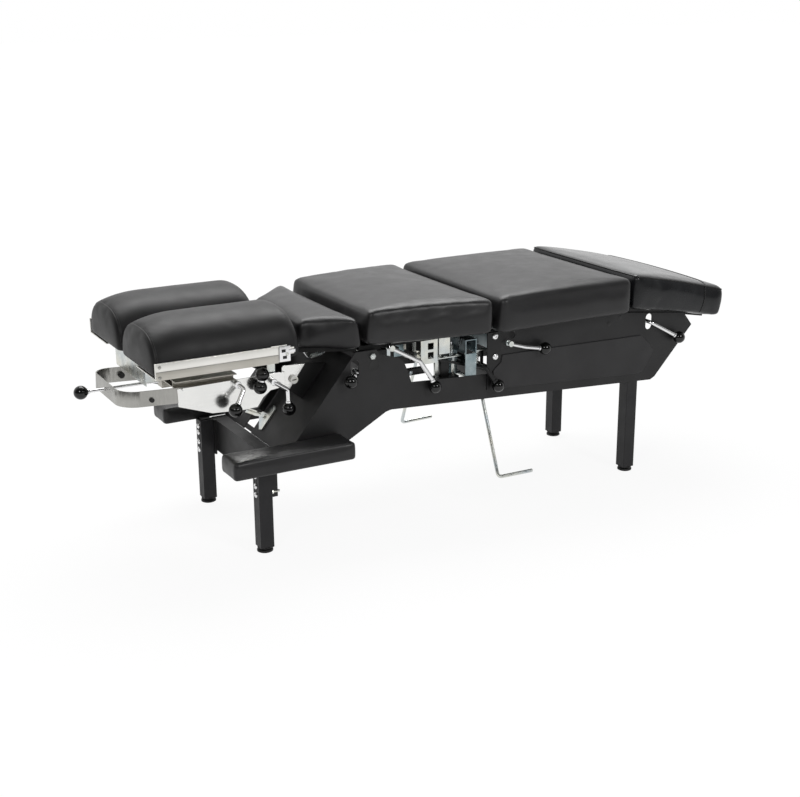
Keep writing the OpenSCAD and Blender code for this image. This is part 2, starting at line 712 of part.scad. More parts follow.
module thoracic_frame() {
    color([0.12, 0.12, 0.12]) section_frame(thoracic_x0 + 12, thoracic_x1, thoracic_half - 24,
        board_half, ear_in - 2 * ear_t, front_shaft_x, front_shaft_z, thoracic_x1 - ear_r,
        thoracic_x1 - 1);
}
thoracic_lean = 11;
seat_lean = 5;
module thoracic_cushion() {
    color([0.12, 0.12, 0.13]) skin(pad_rings(thoracic_x0, thoracic_x1,
        [thoracic_half, shoulder_half], [thoracic_t, cushion_t], [3, 6], 20, 2, pad_crown / 2, deck_z,
        [0, thoracic_lean]));
}
catch_x = thoracic_x0 + 40;
module thoracic_catch() {
    color([0.75, 0.77, 0.78]) both_sides() plate_xz([[catch_x, board_z], [catch_x, board_z - 12],
        [catch_x + 18, board_z - 26], [catch_x + 30, board_z - 20], [catch_x + 44, board_z - 26],
        [catch_x + 52, board_z - 12], [catch_x + 52, board_z]], 70, 73);
}
module dorsal_frame() {
    color([0.12, 0.12, 0.12]) section_frame(dorsal_x0, dorsal_x1 - 6, board_half, board_half, ear_in,
        front_shaft_x, front_shaft_z, front_shaft_x - 20, front_shaft_x + 30);
}
module dorsal_cushion() {
    color([0.12, 0.12, 0.13]) skin(pad_rings(dorsal_x0, dorsal_x1, [shoulder_half, hip_half],
        [cushion_t + 9, cushion_t + 8], [10, 5], 30, 8, pad_crown, deck_z, -seat_lean * [1, 1]));
}
guide_y = ear_in - 7;
guide_x = notch_low_x + 42;
module dorsal_guides() {
    color([0.8, 0.81, 0.82]) both_sides() {
        difference() {
            block(guide_x, guide_x + 53, guide_y, guide_y + sheet_t, board_z - 70, board_z);
            for (z = [board_z - 56, board_z - 30])
                block(guide_x + 22, guide_x + 40, guide_y - overrun, guide_y + sheet_t + overrun,
                    z, z + 18);
        }
        block(guide_x + 59, guide_x + 94, guide_y - 3, guide_y, board_z - 50, board_z);
    }
}
module pelvic_frame() {
    color([0.12, 0.12, 0.12]) section_frame(pelvic_x0 + 4, pelvic_x1 - 10, board_half, board_half, ear_in,
        rear_shaft_x, rear_shaft_z, rear_shaft_x - 40, rear_shaft_x + 12);
}
module pelvic_cushion() {
    color([0.12, 0.12, 0.13]) skin(pad_rings(pelvic_x0, pelvic_x1, [hip_half, hip_half - 6],
        [cushion_t + 9, cushion_t + 12], [2, 2], 8, 6, pad_crown, deck_z, -seat_lean * [1, 1]));
}
module foot_frame() {
    color([0.12, 0.12, 0.12]) difference() {
        union() {
            on_foot() block(26, foot_l - 20, -board_half, board_half, -board_t, 0);
            both_sides() {
                rod_y(foot_shaft_x, foot_shaft_z, ear_r, ear_in - 2 * ear_t, ear_in - ear_t);
                on_foot() plate_xz([[26, 0], [80, 0], [80, -board_t], [16, -38], [0, -46], [10, -22]],
                    ear_in - 2 * ear_t, ear_in - ear_t);
            }
        }
        rod_y(foot_shaft_x, foot_shaft_z, shaft_r + fit, -panel_y, panel_y);
    }
}
module foot_cushion() {
    color([0.2, 0.22, 0.25]) on_foot() skin(foot_rings());
}

// Foot pedals
pedal_x = pelvic_x0 + 11;
pedal_z = rail_z - 153;
pedal_r = 5;
pedal_hub_y = inner_y - 33.5;
pedal_points = [[pedal_x, -pedal_hub_y, pedal_z], [pedal_x, -pedal_hub_y - 106, pedal_z - 250],
    [pedal_x + 111, -pedal_hub_y - 110, pedal_z - 249]];
module pedal_shaft() {
    color([0.7, 0.71, 0.73]) rod_y(pedal_x, pedal_z, shaft_r, seat - panel_y, panel_y - seat);
}
module pedal_rod_near() {
    color([0.8, 0.8, 0.82]) difference() {
        union() {
            rod_y(pedal_x, pedal_z, hub_r + 2, -pedal_hub_y - hub_w, -pedal_hub_y + hub_w);
            bent_rod(pedal_points, pedal_r);
        }
        rod_y(pedal_x, pedal_z, shaft_r + fit, -panel_y, 0);
    }
}
module pedal_rod_far() mirror([0, 1, 0]) pedal_rod_near();

// Head section
carriage_t = 4;
carriage_s0 = slot_s1 + 4;
carriage_s1 = carriage_s0 + 116;
carriage_half = 112;
ear_in_y = carriage_half - sheet_t;
module head_carriage() {
    color([0.1, 0.1, 0.1]) difference() {
        on_slope() union() {
            block(carriage_s0, carriage_s1, -carriage_half, carriage_half, seat, carriage_t + seat);
            both_sides() plate_xz([[carriage_s0, seat], [carriage_s1, seat], [carriage_s1, 6],
                [carriage_s1 - 36, 58], [carriage_s1 - 65, 76],
                [carriage_s1 - 98, 76], [carriage_s0 - 1, 44]], -carriage_half, -ear_in_y);
            difference() {
                block(arm_s0, carriage_s0 + overrun, arm_y0, arm_y0 + arm_w0, arm_h0, arm_h0 + arm_w0);
                block(arm_s0 - overrun, carriage_s0 - overrun, arm_y0 + sheet_t,
                    arm_y0 + arm_w0 - sheet_t, arm_h0 + sheet_t, arm_h0 + arm_w0 - sheet_t);
            }
            block(carriage_s0, carriage_s0 + 24, arm_y0, arm_y0 + arm_w0, carriage_t,
                arm_h0 + arm_w0);
        }
        rod_y(pivot_x, pivot_z, pivot_r + fit, -panel_y, panel_y);
    }
}
pivot_r = 7;
nylon_r = 11;
nylon_t = 8;

drop_pin_r = 4;
drop_pin_x = pivot_x - 64;
drop_pin_z = pivot_z + 12;
module head_plate() {
    x = pivot_x;
    z = pivot_z;
    color([0.85, 0.85, 0.87]) {
        plate_xz([[x - 327, z + 25], [x - 156, z + 27], [x - 43, z + 29], [x - 43, z - 13],
            [x - 71, z - 16], [x - 93, z - 32], [x - 110, z - 56], [x - 147, z - 58],
            [x - 235, z - 53], [x - 325, z - 22]], -plate_y, -plate_in);
        rod_y(drop_pin_x, drop_pin_z, drop_pin_r, -plate_in, 12 - plate_in);
    }
}
module head_plate_near() head_plate();
module head_plate_far() mirror([0, 1, 0]) head_plate();

handle_h = 41;
handle_a = 3;
handle_round = 49;
handle_t = sheet_t;
handle_x0 = pivot_x - 473;
handle_x1 = pivot_x - 286;
handle_z = pivot_z + 26;
module handle_outline(inset) {
    r = handle_round - inset;
    half = plate_in - inset;
    for (s = [-1, 1]) translate([handle_round, s * (plate_in - handle_round)]) circle(r = r);
    translate([handle_round, -half]) square([handle_x1 - handle_x0, 2 * half]);
    translate([inset, handle_round - plate_in])
        square([handle_round, 2 * (plate_in - handle_round)]);
}
module head_handle() {
    color([0.75, 0.75, 0.77]) difference() {
        translate([handle_x1, 0, handle_z]) rotate([0, handle_a, 0])
            translate([handle_x0 - handle_x1, 0, -handle_h]) difference() {
                linear_extrude(handle_h) difference() {
                    handle_outline(0);
                    handle_outline(handle_t);
                }
                translate([handle_x1 - handle_x0, -plate_y, -overrun])
                    cube([handle_round + overrun, 2 * plate_y, handle_h + 2 * overrun]);
            }
        rod_x(0, release_z, release_r + 1, handle_x0 - overrun, handle_x0 + handle_round);
    }
}
release_r = 4;
release_z = pivot_z + 15;

tray_x0 = pivot_x - 329;
tray_x1 = pivot_x - 163;
tray_z = pivot_z + 22;
tray_h = 20;
tray_web_y = 98;
release_block = 16;
module head_cross_tray() {
    color([0.55, 0.52, 0.48]) difference() {
        union() {
            block(tray_x0, tray_x1, -plate_in, plate_in, tray_z, tray_z + sheet_t);
            block(tray_x0, tray_x1, -plate_in, plate_in, tray_z + tray_h - sheet_t, tray_z + tray_h);
            both_sides() block(tray_x0, tray_x1, tray_web_y, tray_web_y + sheet_t, tray_z,
                tray_z + tray_h);
            block(tray_x0, tray_x0 + 2 * release_block, -release_block, release_block,
                release_z - release_block, tray_z);
        }
        rod_x(0, release_z, release_r + fit, tray_x0 - overrun, tray_x0 + 2 * release_block + overrun);
        both_sides() block(tray_x0 - overrun, handle_x1 + seat, plate_in - handle_t - seat,
            plate_in + overrun, tray_z - overrun, tray_z + tray_h + overrun);
    }
}

bracket_y = carriage_half + seat;
module pivot_brackets() {
    x = pivot_x;
    z = pivot_z;
    color([0.85, 0.85, 0.86]) both_sides() difference() {
        union() {
            plate_xz([[x - 31, z + 36], [x - 27, z + 41], [x + 36, z + 38], [x - 12, z - 27],
                [x - 31, z - 15]], bracket_y, bracket_y + sheet_t);
            block(x - 31, x - 28, bracket_y, plate_in, z - 12, z + 27);
            block(x - 56, x - 28, plate_in - sheet_t, plate_in, z - 12, z + 27);
        }
        rod_y(x, z, pivot_r + fit, 0, panel_y);
    }
}
module pivot_bolts() {
    color([0.93, 0.91, 0.82]) both_sides() {
        rod_y(pivot_x, pivot_z, pivot_r, ear_in_y - 6, bracket_y + sheet_t + nylon_t);
        rod_y(pivot_x, pivot_z, nylon_r, bracket_y + sheet_t, bracket_y + sheet_t + nylon_t);
        rod_y(pivot_x, pivot_z, nylon_r, ear_in_y - 6, ear_in_y - seat);
    }
}
module handle_bumpers() {
    color([0.05, 0.05, 0.05]) {
        rod_y(pivot_x - 394, pivot_z + 7, 6, -plate_in - 5, -plate_in);
        rod_y(pivot_x - 394, pivot_z + 10, 8, plate_in - sheet_t - 10, plate_in - sheet_t);
    }
}

pan_x0 = loaf_x0 + 26;
pan_x1 = loaf_x1 - 18;
pan_half = plate_in - 3;
pan_side_y = plate_in - 6 - sheet_t;
pan_side_drop = 44;
module head_drop_plate() {
    color([0.72, 0.75, 0.72]) difference() {
        union() {
            block(pan_x0, pan_x1, -pan_half, pan_half, pan_z, pan_z + pan_t);
            block(pan_x0, pan_x0 + sheet_t, -pan_half + 4, pan_half - 4, pan_z - 54, pan_z);
            both_sides() {
                block(pan_x0, pan_x1, pan_side_y, pan_side_y + sheet_t, pan_z - pan_side_drop, pan_z);
                block(drop_pin_x - 11, drop_pin_x + 11, pan_side_y, pan_side_y + sheet_t,
                    drop_pin_z, pan_z);
                rod_y(drop_pin_x, drop_pin_z, 11, pan_side_y, pan_side_y + sheet_t);
            }
        }
        rod_y(drop_pin_x, drop_pin_z, drop_pin_r + fit, -panel_y, panel_y);
    }
}

// Head cushions: a domed section with a tight head end and a long round tail end
loaf_power = 0.87;
loaf_corner = 10;
loaf_head_run = 110;
loaf_head_share = 0.8;
loaf_tail_round = 55;
loaf_sweep = [0, 14, 28, 42, 55, 67, 77, 85];
function round_in(z, r) = z > loaf_h - r ? r * (1 - sqrt(1 - pow((z - loaf_h + r) / r, 2))) : 0;
function head_in(z) = z > loaf_h * loaf_head_share
    ? loaf_head_run * pow((z / loaf_h - loaf_head_share) / (1 - loaf_head_share), 2.2) : 0;
function loaf_rings() = [for (a = loaf_sweep) let(
    half = loaf_w / 2 * pow(cos(a), loaf_power),
    z = loaf_h * pow(sin(a), loaf_power),
    ring = outline(loaf_x0 + head_in(z), loaf_x1 - round_in(z, loaf_tail_round),
        half, half, min(loaf_corner, half * 3 / 4), 0))
    [for (p = ring) [p[0], p[1], z]]];
loaf_y = face_gap / 2 + loaf_w / 2;
module head_cushion_near() {
    color([0.13, 0.13, 0.14]) translate([0, -loaf_y, loaf_z0]) skin(loaf_rings());
}
module head_cushion_far() mirror([0, 1, 0]) head_cushion_near();

rail_t = 5;
rail_h = 41;
rail_y = face_gap / 2 + loaf_w + seat;
rail_x0 = loaf_x0 + 4;
rail_x1 = loaf_x1 - 75;
rail_low_z = loaf_z0 - 3;
latch_w = 42;
module head_rail_near() {
    color([0.83, 0.82, 0.8]) difference() {
        union() {
            block(rail_x0, rail_x1, -rail_y - rail_t, -rail_y, rail_low_z, rail_low_z + rail_h);
            block(rail_x0, rail_x1 + latch_w, -rail_y, -pan_half - seat * 4, rail_low_z,
                rail_low_z + sheet_t - seat);
            block(rail_x1 - 1, rail_x1 + latch_w, -rail_y - sheet_t, -rail_y, rail_low_z,
                rail_low_z + rail_h + 2);
            block(rail_x1 + latch_w, rail_x1 + latch_w + 19, -rail_y - sheet_t, -rail_y,
                rail_low_z + 18, rail_low_z + 35);
        }
        for (x = [4, 27]) block(rail_x1 + x, rail_x1 + x + 13, -rail_y - rail_t - overrun,
            -rail_y - seat, rail_low_z + 26, rail_low_z + 37);
    }
}
module head_rail_far() mirror([0, 1, 0]) head_rail_near();

// Head levers
release_points = [[tray_x0 + 60, 0, release_z], [release_x, 0, release_z]];
module tilt_release() {
    color([0.8, 0.8, 0.82]) {
        bar(release_points[0], release_points[1], release_r);
        ball_knob(release_points);
    }
}
head_lever_y = -plate_y - 22;
head_drop_lever_points = [[pivot_x - 168, head_lever_y + 10, pivot_z + 17],
    [pivot_x - 157, head_lever_y - 4, pivot_z + 7], [pivot_x - 190, head_lever_y - 24, pivot_z - 40]];
head_lock_lever_points = [[pivot_x - 69, head_lever_y + 6, pivot_z + 10],
    [pivot_x - 32, head_lever_y, pivot_z - 15], [pivot_x - 30, head_lever_y, pivot_z - 68]];
tension_hub = [pivot_x - 106, head_lever_y, pivot_z + 20];
head_hub_w = 10;
module head_lever(points) {
    color([0.8, 0.8, 0.82]) {
        rod_y(points[0][0], points[0][2], hub_r, points[0][1] - head_hub_w / 2, -plate_y - seat);
        bent_rod(points, rod_r);
        ball_knob(points);
    }
}
module head_drop_lever() head_lever(head_drop_lever_points);
module head_lock_lever() head_lever(head_lock_lever_points);
module head_tension_lever() {
    reach = [3.5, 0, 16];
    h = tension_hub;
    color([0.8, 0.8, 0.82]) {
        rod_y(h[0], h[2], hub_r / 2, h[1], -plate_y - seat);
        for (s = [-1, 1]) translate(h + s * reach) sphere(r = knob_r);
    }
}

// Armrests
arm_x0 = -108;
arm_plate_z = beam_z + seat;
arm_y = panel_y + 3.5;
post_drop = 100;
tongue = 14;
module armrest_plate_near() {
    color([0.12, 0.12, 0.12]) {
        block(arm_x0 + 48, arm_x0 + arm_l - 52, -arm_y - arm_w + 8, -arm_y - 2, arm_plate_z,
            arm_plate_z + sheet_t);
        block(-tongue, tongue, -arm_y - 2, tongue - front_leg_y, arm_plate_z, arm_plate_z + sheet_t);
        translate([0, -front_leg_y, arm_plate_z - post_drop]) cylinder(r = post_r, h = post_drop);
    }
}
module armrest_plate_far() mirror([0, 1, 0]) armrest_plate_near();
module armrest_pad_near() {
    color([0.13, 0.13, 0.14]) translate([0, -arm_y - arm_w / 2, 0]) skin(pad_rings(arm_x0,
        arm_x0 + arm_l, [arm_w, arm_w] / 2, [arm_t, arm_t] - [3, 3], [1, 1], 5, 0, 3, arm_plate_z + sheet_t));
}
module armrest_pad_far() mirror([0, 1, 0]) armrest_pad_near();

// The table's ends, which put its middle on the origin
foot_reach = max([for (p = foot_points()) foot_x0 + p[0] * cos(foot_a) + p[2] * sin(foot_a)]);
mid_x = (release_x - knob_r + foot_reach) / 2;

// Sub-parts

at_origin() side_panel_near();
at_origin() side_panel_far();
at_origin() front_panel();
at_origin() front_crossbeam();
at_origin() rear_crossmember();
at_origin() mid_crossmembers();
at_origin() front_leg_near();
at_origin() front_leg_far();
at_origin() rear_leg_near();
at_origin() rear_leg_far();
at_origin() levelling_feet();
at_origin() end_plugs();
at_origin() frame_bolts();
at_origin() side_covers();
at_origin() lever_plate();
at_origin() cross_shafts();
at_origin() lever_pins();
at_origin() drop_channels();
at_origin() stop_bumpers();
at_origin() cam_housing();
at_origin() clamp_bracket();
at_origin() thoracic_frame();
at_origin() thoracic_cushion();
at_origin() thoracic_catch();
at_origin() dorsal_frame();
at_origin() dorsal_cushion();
at_origin() dorsal_guides();
at_origin() pelvic_frame();
at_origin() pelvic_cushion();
at_origin() foot_frame();
at_origin() foot_cushion();
at_origin() pedal_shaft();
at_origin() pedal_rod_near();
at_origin() pedal_rod_far();
at_origin() thoracic_lever();
at_origin() dorsal_lever();
at_origin() tension_lever();
at_origin() pelvic_lever();
at_origin() foot_lever();
at_origin() head_carriage();
at_origin() head_plate_near();
at_origin() head_plate_far();
at_origin() head_handle();
at_origin() head_cross_tray();
at_origin() pivot_brackets();
at_origin() pivot_bolts();
at_origin() handle_bumpers();
at_origin() head_drop_plate();
at_origin() head_cushion_near();
at_origin() head_cushion_far();
at_origin() head_rail_near();
at_origin() head_rail_far();
at_origin() tilt_release();
at_origin() head_drop_lever();
at_origin() head_tension_lever();
at_origin() head_lock_lever();
at_origin() armrest_pad_near();
at_origin() armrest_pad_far();
at_origin() armrest_plate_near();
at_origin() armrest_plate_far();
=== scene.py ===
import json
import math

import bmesh
import bpy
import numpy as np
from mathutils import Matrix, Vector
from mathutils.bvhtree import BVHTree

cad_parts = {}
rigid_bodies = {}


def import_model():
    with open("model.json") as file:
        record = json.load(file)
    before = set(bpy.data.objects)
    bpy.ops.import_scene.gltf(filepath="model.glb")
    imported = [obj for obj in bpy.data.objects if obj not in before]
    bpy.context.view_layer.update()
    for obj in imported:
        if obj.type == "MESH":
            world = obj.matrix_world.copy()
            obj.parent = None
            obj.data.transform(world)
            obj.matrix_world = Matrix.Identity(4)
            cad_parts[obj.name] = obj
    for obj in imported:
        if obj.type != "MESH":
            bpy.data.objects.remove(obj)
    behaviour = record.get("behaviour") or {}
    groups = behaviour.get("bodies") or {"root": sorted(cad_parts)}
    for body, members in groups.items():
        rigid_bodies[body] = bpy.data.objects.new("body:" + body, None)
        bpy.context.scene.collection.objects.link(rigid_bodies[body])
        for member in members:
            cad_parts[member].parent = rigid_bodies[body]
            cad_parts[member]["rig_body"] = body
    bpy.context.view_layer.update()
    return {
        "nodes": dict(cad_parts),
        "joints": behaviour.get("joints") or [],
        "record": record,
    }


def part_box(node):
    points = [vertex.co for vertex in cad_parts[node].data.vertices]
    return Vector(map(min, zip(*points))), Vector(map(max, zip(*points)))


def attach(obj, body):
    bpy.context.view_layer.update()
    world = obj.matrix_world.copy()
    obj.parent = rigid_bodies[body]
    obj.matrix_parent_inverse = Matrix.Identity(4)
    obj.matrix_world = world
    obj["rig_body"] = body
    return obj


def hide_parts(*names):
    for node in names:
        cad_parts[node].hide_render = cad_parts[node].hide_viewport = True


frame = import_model()
MM = 0.001
ALONG, ACROSS, UP = Vector((1, 0, 0)), Vector((0, 1, 0)), Vector((0, 0, 1))
SIDES = ((-1, "near"), (1, "far"))
WHITE = (1, 1, 1, 1)

# Places are in millimetres from the front legs' middle, as the table's sizes are
LEG_LOW, LEG_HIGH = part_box("front_leg_near")
FRONT_X = (LEG_LOW.x + LEG_HIGH.x) / 2


def at(x, y, z):
    return Vector((FRONT_X + x * MM, y * MM, z * MM))


def local(v):
    """A point of the row frame in millimetres from the front legs."""
    return Vector(((v.x - FRONT_X) / MM, v.y / MM, v.z / MM))


def pivot(joint):
    found = next(j for j in frame["joints"] if j["name"] == joint)
    return Vector(found["pos_m"])


BODIES = frame["record"]["behaviour"]["bodies"]
BODY_OF = {node: body for body, nodes in BODIES.items() for node in nodes}


# Camera, at the photograph's place

CAMERA_XYZ = (-1259.9, -3229.2, 1441.9)
YAW, PITCH, ROLL = math.radians(28.91), math.radians(-17.44), math.radians(-0.356)
FOCAL_PX, IMAGE_W, SENSOR = 1336.7, 800, 36


def make_camera():
    data = bpy.data.cameras.new("camera")
    cam = bpy.data.objects.new("camera", data)
    bpy.context.scene.collection.objects.link(cam)
    level = math.cos(PITCH)
    forward = Vector((math.sin(YAW) * level, math.cos(YAW) * level, math.sin(PITCH)))
    right = Vector((math.cos(YAW), -math.sin(YAW), 0))
    up = right.cross(forward)
    side = right * math.cos(ROLL) + up * math.sin(ROLL)
    top = up * math.cos(ROLL) - right * math.sin(ROLL)
    turn = Matrix((side, top, -forward)).transposed().to_4x4()
    cam.matrix_world = Matrix.Translation(at(*CAMERA_XYZ)) @ turn
    data.sensor_fit = "HORIZONTAL"
    data.sensor_width = SENSOR
    data.lens = FOCAL_PX * SENSOR / IMAGE_W
    data.clip_end = 50
    bpy.context.scene.camera = cam


# Materials

def new_node(tree, kind, inputs=None, **settings):
    """Adds a node. Each input takes a value, or another node's output, which is linked to it."""
    node = tree.nodes.new(kind)
    for key, value in settings.items():
        setattr(node, key, value)
    for key, value in (inputs or {}).items():
        if hasattr(value, "links"):
            tree.links.new(value, node.inputs[key])
        else:
            node.inputs[key].default_value = value
    return node


class Nodes:
    """A material's node tree with a Principled shader, and short calls to build on it."""

    def __init__(self, name, **values):
        self.mat = bpy.data.materials.new(name)
        self.mat.use_nodes = True
        self.tree = self.mat.node_tree
        self.shader = self.tree.nodes["Principled BSDF"]
        for key, value in values.items():
            self.set(key.replace("_", " "), value)
        self.coords = self.tree.nodes.new("ShaderNodeTexCoord").outputs["Object"]
        self.height = None

    def set(self, socket, value):
        if socket == "Base Color":
            value = (*value, 1)
        self.shader.inputs[socket].default_value = value

    def add(self, kind, inputs=None, **settings):
        return new_node(self.tree, kind, inputs, **settings)

    def stretched(self, scale):
        return self.add("ShaderNodeMapping", {"Vector": self.coords, "Scale": scale}).outputs[0]

    def noise(self, scale, detail=3, rough=0.5, vector=None):
        return self.add("ShaderNodeTexNoise", {
            "Vector": vector or self.coords, "Scale": scale, "Detail": detail, "Roughness": rough,
        }).outputs["Fac"]

    def cells(self, scale):
        return self.add("ShaderNodeTexVoronoi", {"Vector": self.coords, "Scale": scale},
                        feature="SMOOTH_F1").outputs["Distance"]

    def ramp(self, value, low, high, at_low=0.0, at_high=1.0):
        node = self.add("ShaderNodeMapRange", {
            "Value": value, "From Min": low, "From Max": high, "To Min": at_low, "To Max": at_high})
        return node.outputs[0]

    def tint(self, value, dark, light):
        node = self.add("ShaderNodeMix", {"Factor": value}, data_type="RGBA")
        node.inputs[6].default_value = (*dark, 1)
        node.inputs[7].default_value = (*light, 1)
        self.tree.links.new(node.outputs[2], self.shader.inputs["Base Color"])

    def rough(self, value, low, high):
        self.tree.links.new(self.ramp(value, 0.3, 0.7, low, high), self.shader.inputs["Roughness"])

    def coat_on_top(self, weight):
        """A clear coat on the faces that look up, and none on the sides."""
        normal = self.coords.node.outputs["Normal"]
        up = self.add("ShaderNodeSeparateXYZ", {"Vector": normal}).outputs["Z"]
        self.tree.links.new(self.ramp(up, 0.75, 0.93, 0.0, weight), self.shader.inputs["Coat Weight"])

    def bump(self, value, distance, strength=1.0):
        inputs = {"Height": value, "Distance": distance, "Strength": strength}
        if self.height is not None:
            inputs["Normal"] = self.height
        self.height = self.add("ShaderNodeBump", inputs).outputs[0]
        self.tree.links.new(self.height, self.shader.inputs["Normal"])


def vinyl(name, dark, light, rough, spread, top_coat=0.0, ior=1.46):
    """Upholstery vinyl: a pebbled grain, slow changes of tone, and the gloss of a clear cover on top."""
    n = Nodes(name, Base_Color=dark, IOR=ior, Coat_Roughness=0.12)
    if top_coat:
        n.coat_on_top(top_coat)
    n.tint(n.ramp(n.noise(7, 4), 0.3, 0.75), dark, light)
    n.rough(n.noise(23, 3), rough, rough + spread)
    n.bump(n.noise(16, 2), 0.0016, 0.35)
    n.bump(n.cells(620), 0.00016, 0.55)
    n.bump(n.noise(1400, 2), 0.00008, 0.4)
    return n.mat


def powder(name, dark, light, rough):
    """Black powder coat: a slight orange peel and a little dust in its tone."""
    n = Nodes(name, Base_Color=dark, IOR=1.42)
    n.tint(n.ramp(n.noise(9, 4), 0.35, 0.7), dark, light)
    n.rough(n.noise(14, 3), rough, rough + 0.12)
    n.bump(n.noise(420, 2), 0.00012, 0.45)
    n.bump(n.noise(60, 2), 0.0004, 0.12)
    return n.mat


def metal(name, dark, light, rough, spread, grain, cut, scale=260):
    """Bare or plated metal. grain stretches its brushing, cut is how deep the brushing is."""
    n = Nodes(name, Base_Color=dark, Metallic=1.0)
    lines = n.noise(scale, 4, 0.6, n.stretched(grain))
    n.tint(n.ramp(n.noise(11, 4), 0.3, 0.7), dark, light)
    n.rough(lines, rough, rough + spread)
    n.bump(lines, cut, 0.5)
    return n.mat


def zinc(name, dark, light):
    """Bright zinc plate with the pale blue and straw clouds of its passivation."""
    n = Nodes(name, Metallic=1.0)
    n.tint(n.ramp(n.noise(17, 5, 0.55), 0.34, 0.66), dark, light)
    n.rough(n.noise(45, 4), 0.2, 0.42)
    n.bump(n.noise(300, 3), 0.0001, 0.4)
    return n.mat


def plastic(name, colour, rough, coat=0.0, grain=0.0):
    n = Nodes(name, Base_Color=colour, IOR=1.5, Coat_Weight=coat, Coat_Roughness=0.04)
    n.rough(n.noise(30, 3), rough, rough + 0.05)
    n.tint(n.ramp(n.noise(40, 2), 0.3, 0.7), colour, tuple(min(1, 1.25 * c) for c in colour))
    if grain:
        n.bump(n.noise(700, 2), grain, 0.5)
    return n.mat


ALONG_X, ALONG_Z = (0.02, 1, 1), (1, 1, 0.02)
FINISHES = {
    "seat_vinyl": (vinyl, (0.009, 0.0088, 0.0093), (0.015, 0.0146, 0.0155), 0.34, 0.08),
    "head_vinyl": (vinyl, (0.007, 0.0068, 0.007), (0.012, 0.0117, 0.012), 0.42, 0.08, 0.0, 1.36),
    "foot_vinyl": (vinyl, (0.006, 0.0064, 0.0074), (0.010, 0.0107, 0.0123), 0.26, 0.06, 0.46, 1.4),
    "piping": (vinyl, (0.005, 0.005, 0.005), (0.009, 0.009, 0.009), 0.36, 0.06),
    "thread": (plastic, (0.06, 0.06, 0.062), 0.6),
    "black_powder": (powder, (0.012, 0.0118, 0.0122), (0.018, 0.0177, 0.0185), 0.42),
    "cover_paint": (powder, (0.018, 0.0175, 0.0184), (0.025, 0.0244, 0.0256), 0.4),
    "leg_paint": (powder, (0.012, 0.0117, 0.0129), (0.018, 0.0176, 0.0195), 0.46),
    "black_steel": (powder, (0.004, 0.004, 0.0043), (0.008, 0.008, 0.0085), 0.36),
    "black_board": (powder, (0.004, 0.004, 0.004), (0.008, 0.008, 0.008), 0.6),
    "black_rubber": (plastic, (0.006, 0.006, 0.006), 0.6, 0.0, 0.0002),
    "black_plastic": (plastic, (0.005, 0.005, 0.005), 0.5, 0.0, 0.0001),
    "black_knob": (plastic, (0.002, 0.002, 0.002), 0.04),
    "cream_nylon": (plastic, (0.90, 0.88, 0.78), 0.42, 0.1),
    "zinc": (zinc, (0.56, 0.61, 0.63), (0.76, 0.75, 0.67)),
    "blue_zinc": (zinc, (0.20, 0.26, 0.28), (0.42, 0.47, 0.48)),
    "chrome_rod": (metal, (0.78, 0.78, 0.79), (0.86, 0.86, 0.86), 0.12, 0.1, (1, 1, 1), 0.00003),
    "polished_plate": (metal, (0.80, 0.80, 0.78), (0.86, 0.86, 0.84), 0.13, 0.1, ALONG_X, 0.00002),
    "brushed_bar": (metal, (0.36, 0.355, 0.335), (0.46, 0.455, 0.43), 0.24, 0.2, ALONG_Z, 0.00006, 420),
    # The next finish is the satin rail darkened: painted shade on the rail's lower face and a painted dark
    # reflection on the head's cross tray.
    "satin_painted_shade": (metal, (0.52, 0.50, 0.45), (0.60, 0.58, 0.53), 0.34, 0.16, ALONG_X, 0.00006, 420),
    "satin_rail": (metal, (0.84, 0.83, 0.79), (0.90, 0.89, 0.85), 0.3, 0.16, ALONG_X, 0.00006, 420),
}
MATERIALS = {name: make(name, *values) for name, (make, *values) in FINISHES.items()}
CAD_MATERIALS = {d["node"]: d["material_slot"] for d in frame["record"]["subparts"]}
# The head's cross tray takes the darkened rail satin, a painted dark reflection on its face.
CAD_MATERIALS.update(side_covers="cover_paint", head_cross_tray="satin_painted_shade", drop_channels="blue_zinc",
                     cam_housing="blue_zinc")


# Mesh helpers

def join_object(name, mesh, body, slot, material=None):
    """Links a mesh as a piece that rides on a body and takes a slot's finish."""
    obj = bpy.data.objects.new(name, mesh)
    bpy.context.scene.collection.objects.link(obj)
    mesh.materials.append(MATERIALS[material or slot])
    mesh.shade_smooth()
    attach(obj, body)
    return obj


def mesh_of(name, verts, faces):
    mesh = bpy.data.meshes.new(name)
    mesh.from_pydata([tuple(v) for v in verts], [], faces)
    mesh.update()
    return mesh


def tidy_normals(mesh):
    bm = bmesh.new()
    bm.from_mesh(mesh)
    bmesh.ops.recalc_face_normals(bm, faces=bm.faces)
    bm.to_mesh(mesh)
    bm.free()


def smooth_by_angle(obj, degrees=40):
    with bpy.context.temp_override(object=obj, active_object=obj, selected_editable_objects=[obj]):
        bpy.ops.object.shade_smooth_by_angle(angle=math.radians(degrees))


def rings_mesh(name, rings):
    """Skins a stack of rings with the same count of points, and closes both ends."""
    n = len(rings[0])
    verts = [p for ring in rings for p in ring]
    faces = [(j * n + i, j * n + (i + 1) % n, (j + 1) * n + (i + 1) % n, (j + 1) * n + i)
             for j in range(len(rings) - 1) for i in range(n)]
    faces.append(tuple(range(n)))
    faces.append(tuple((len(rings) - 1) * n + i for i in reversed(range(n))))
    mesh = mesh_of(name, verts, faces)
    tidy_normals(mesh)
    return mesh


def frame_along(directions):
    """A pair of cross axes at each point of a path, turned as little as can be."""
    axis = Vector((0, 0, 1)) if abs(directions[0].z) < 0.9 else Vector((1, 0, 0))
    u = directions[0].cross(axis).normalized()
    pairs = []
    for d in directions:
        u = (u - d * u.dot(d)).normalized()
        pairs.append((u, d.cross(u)))
    return pairs


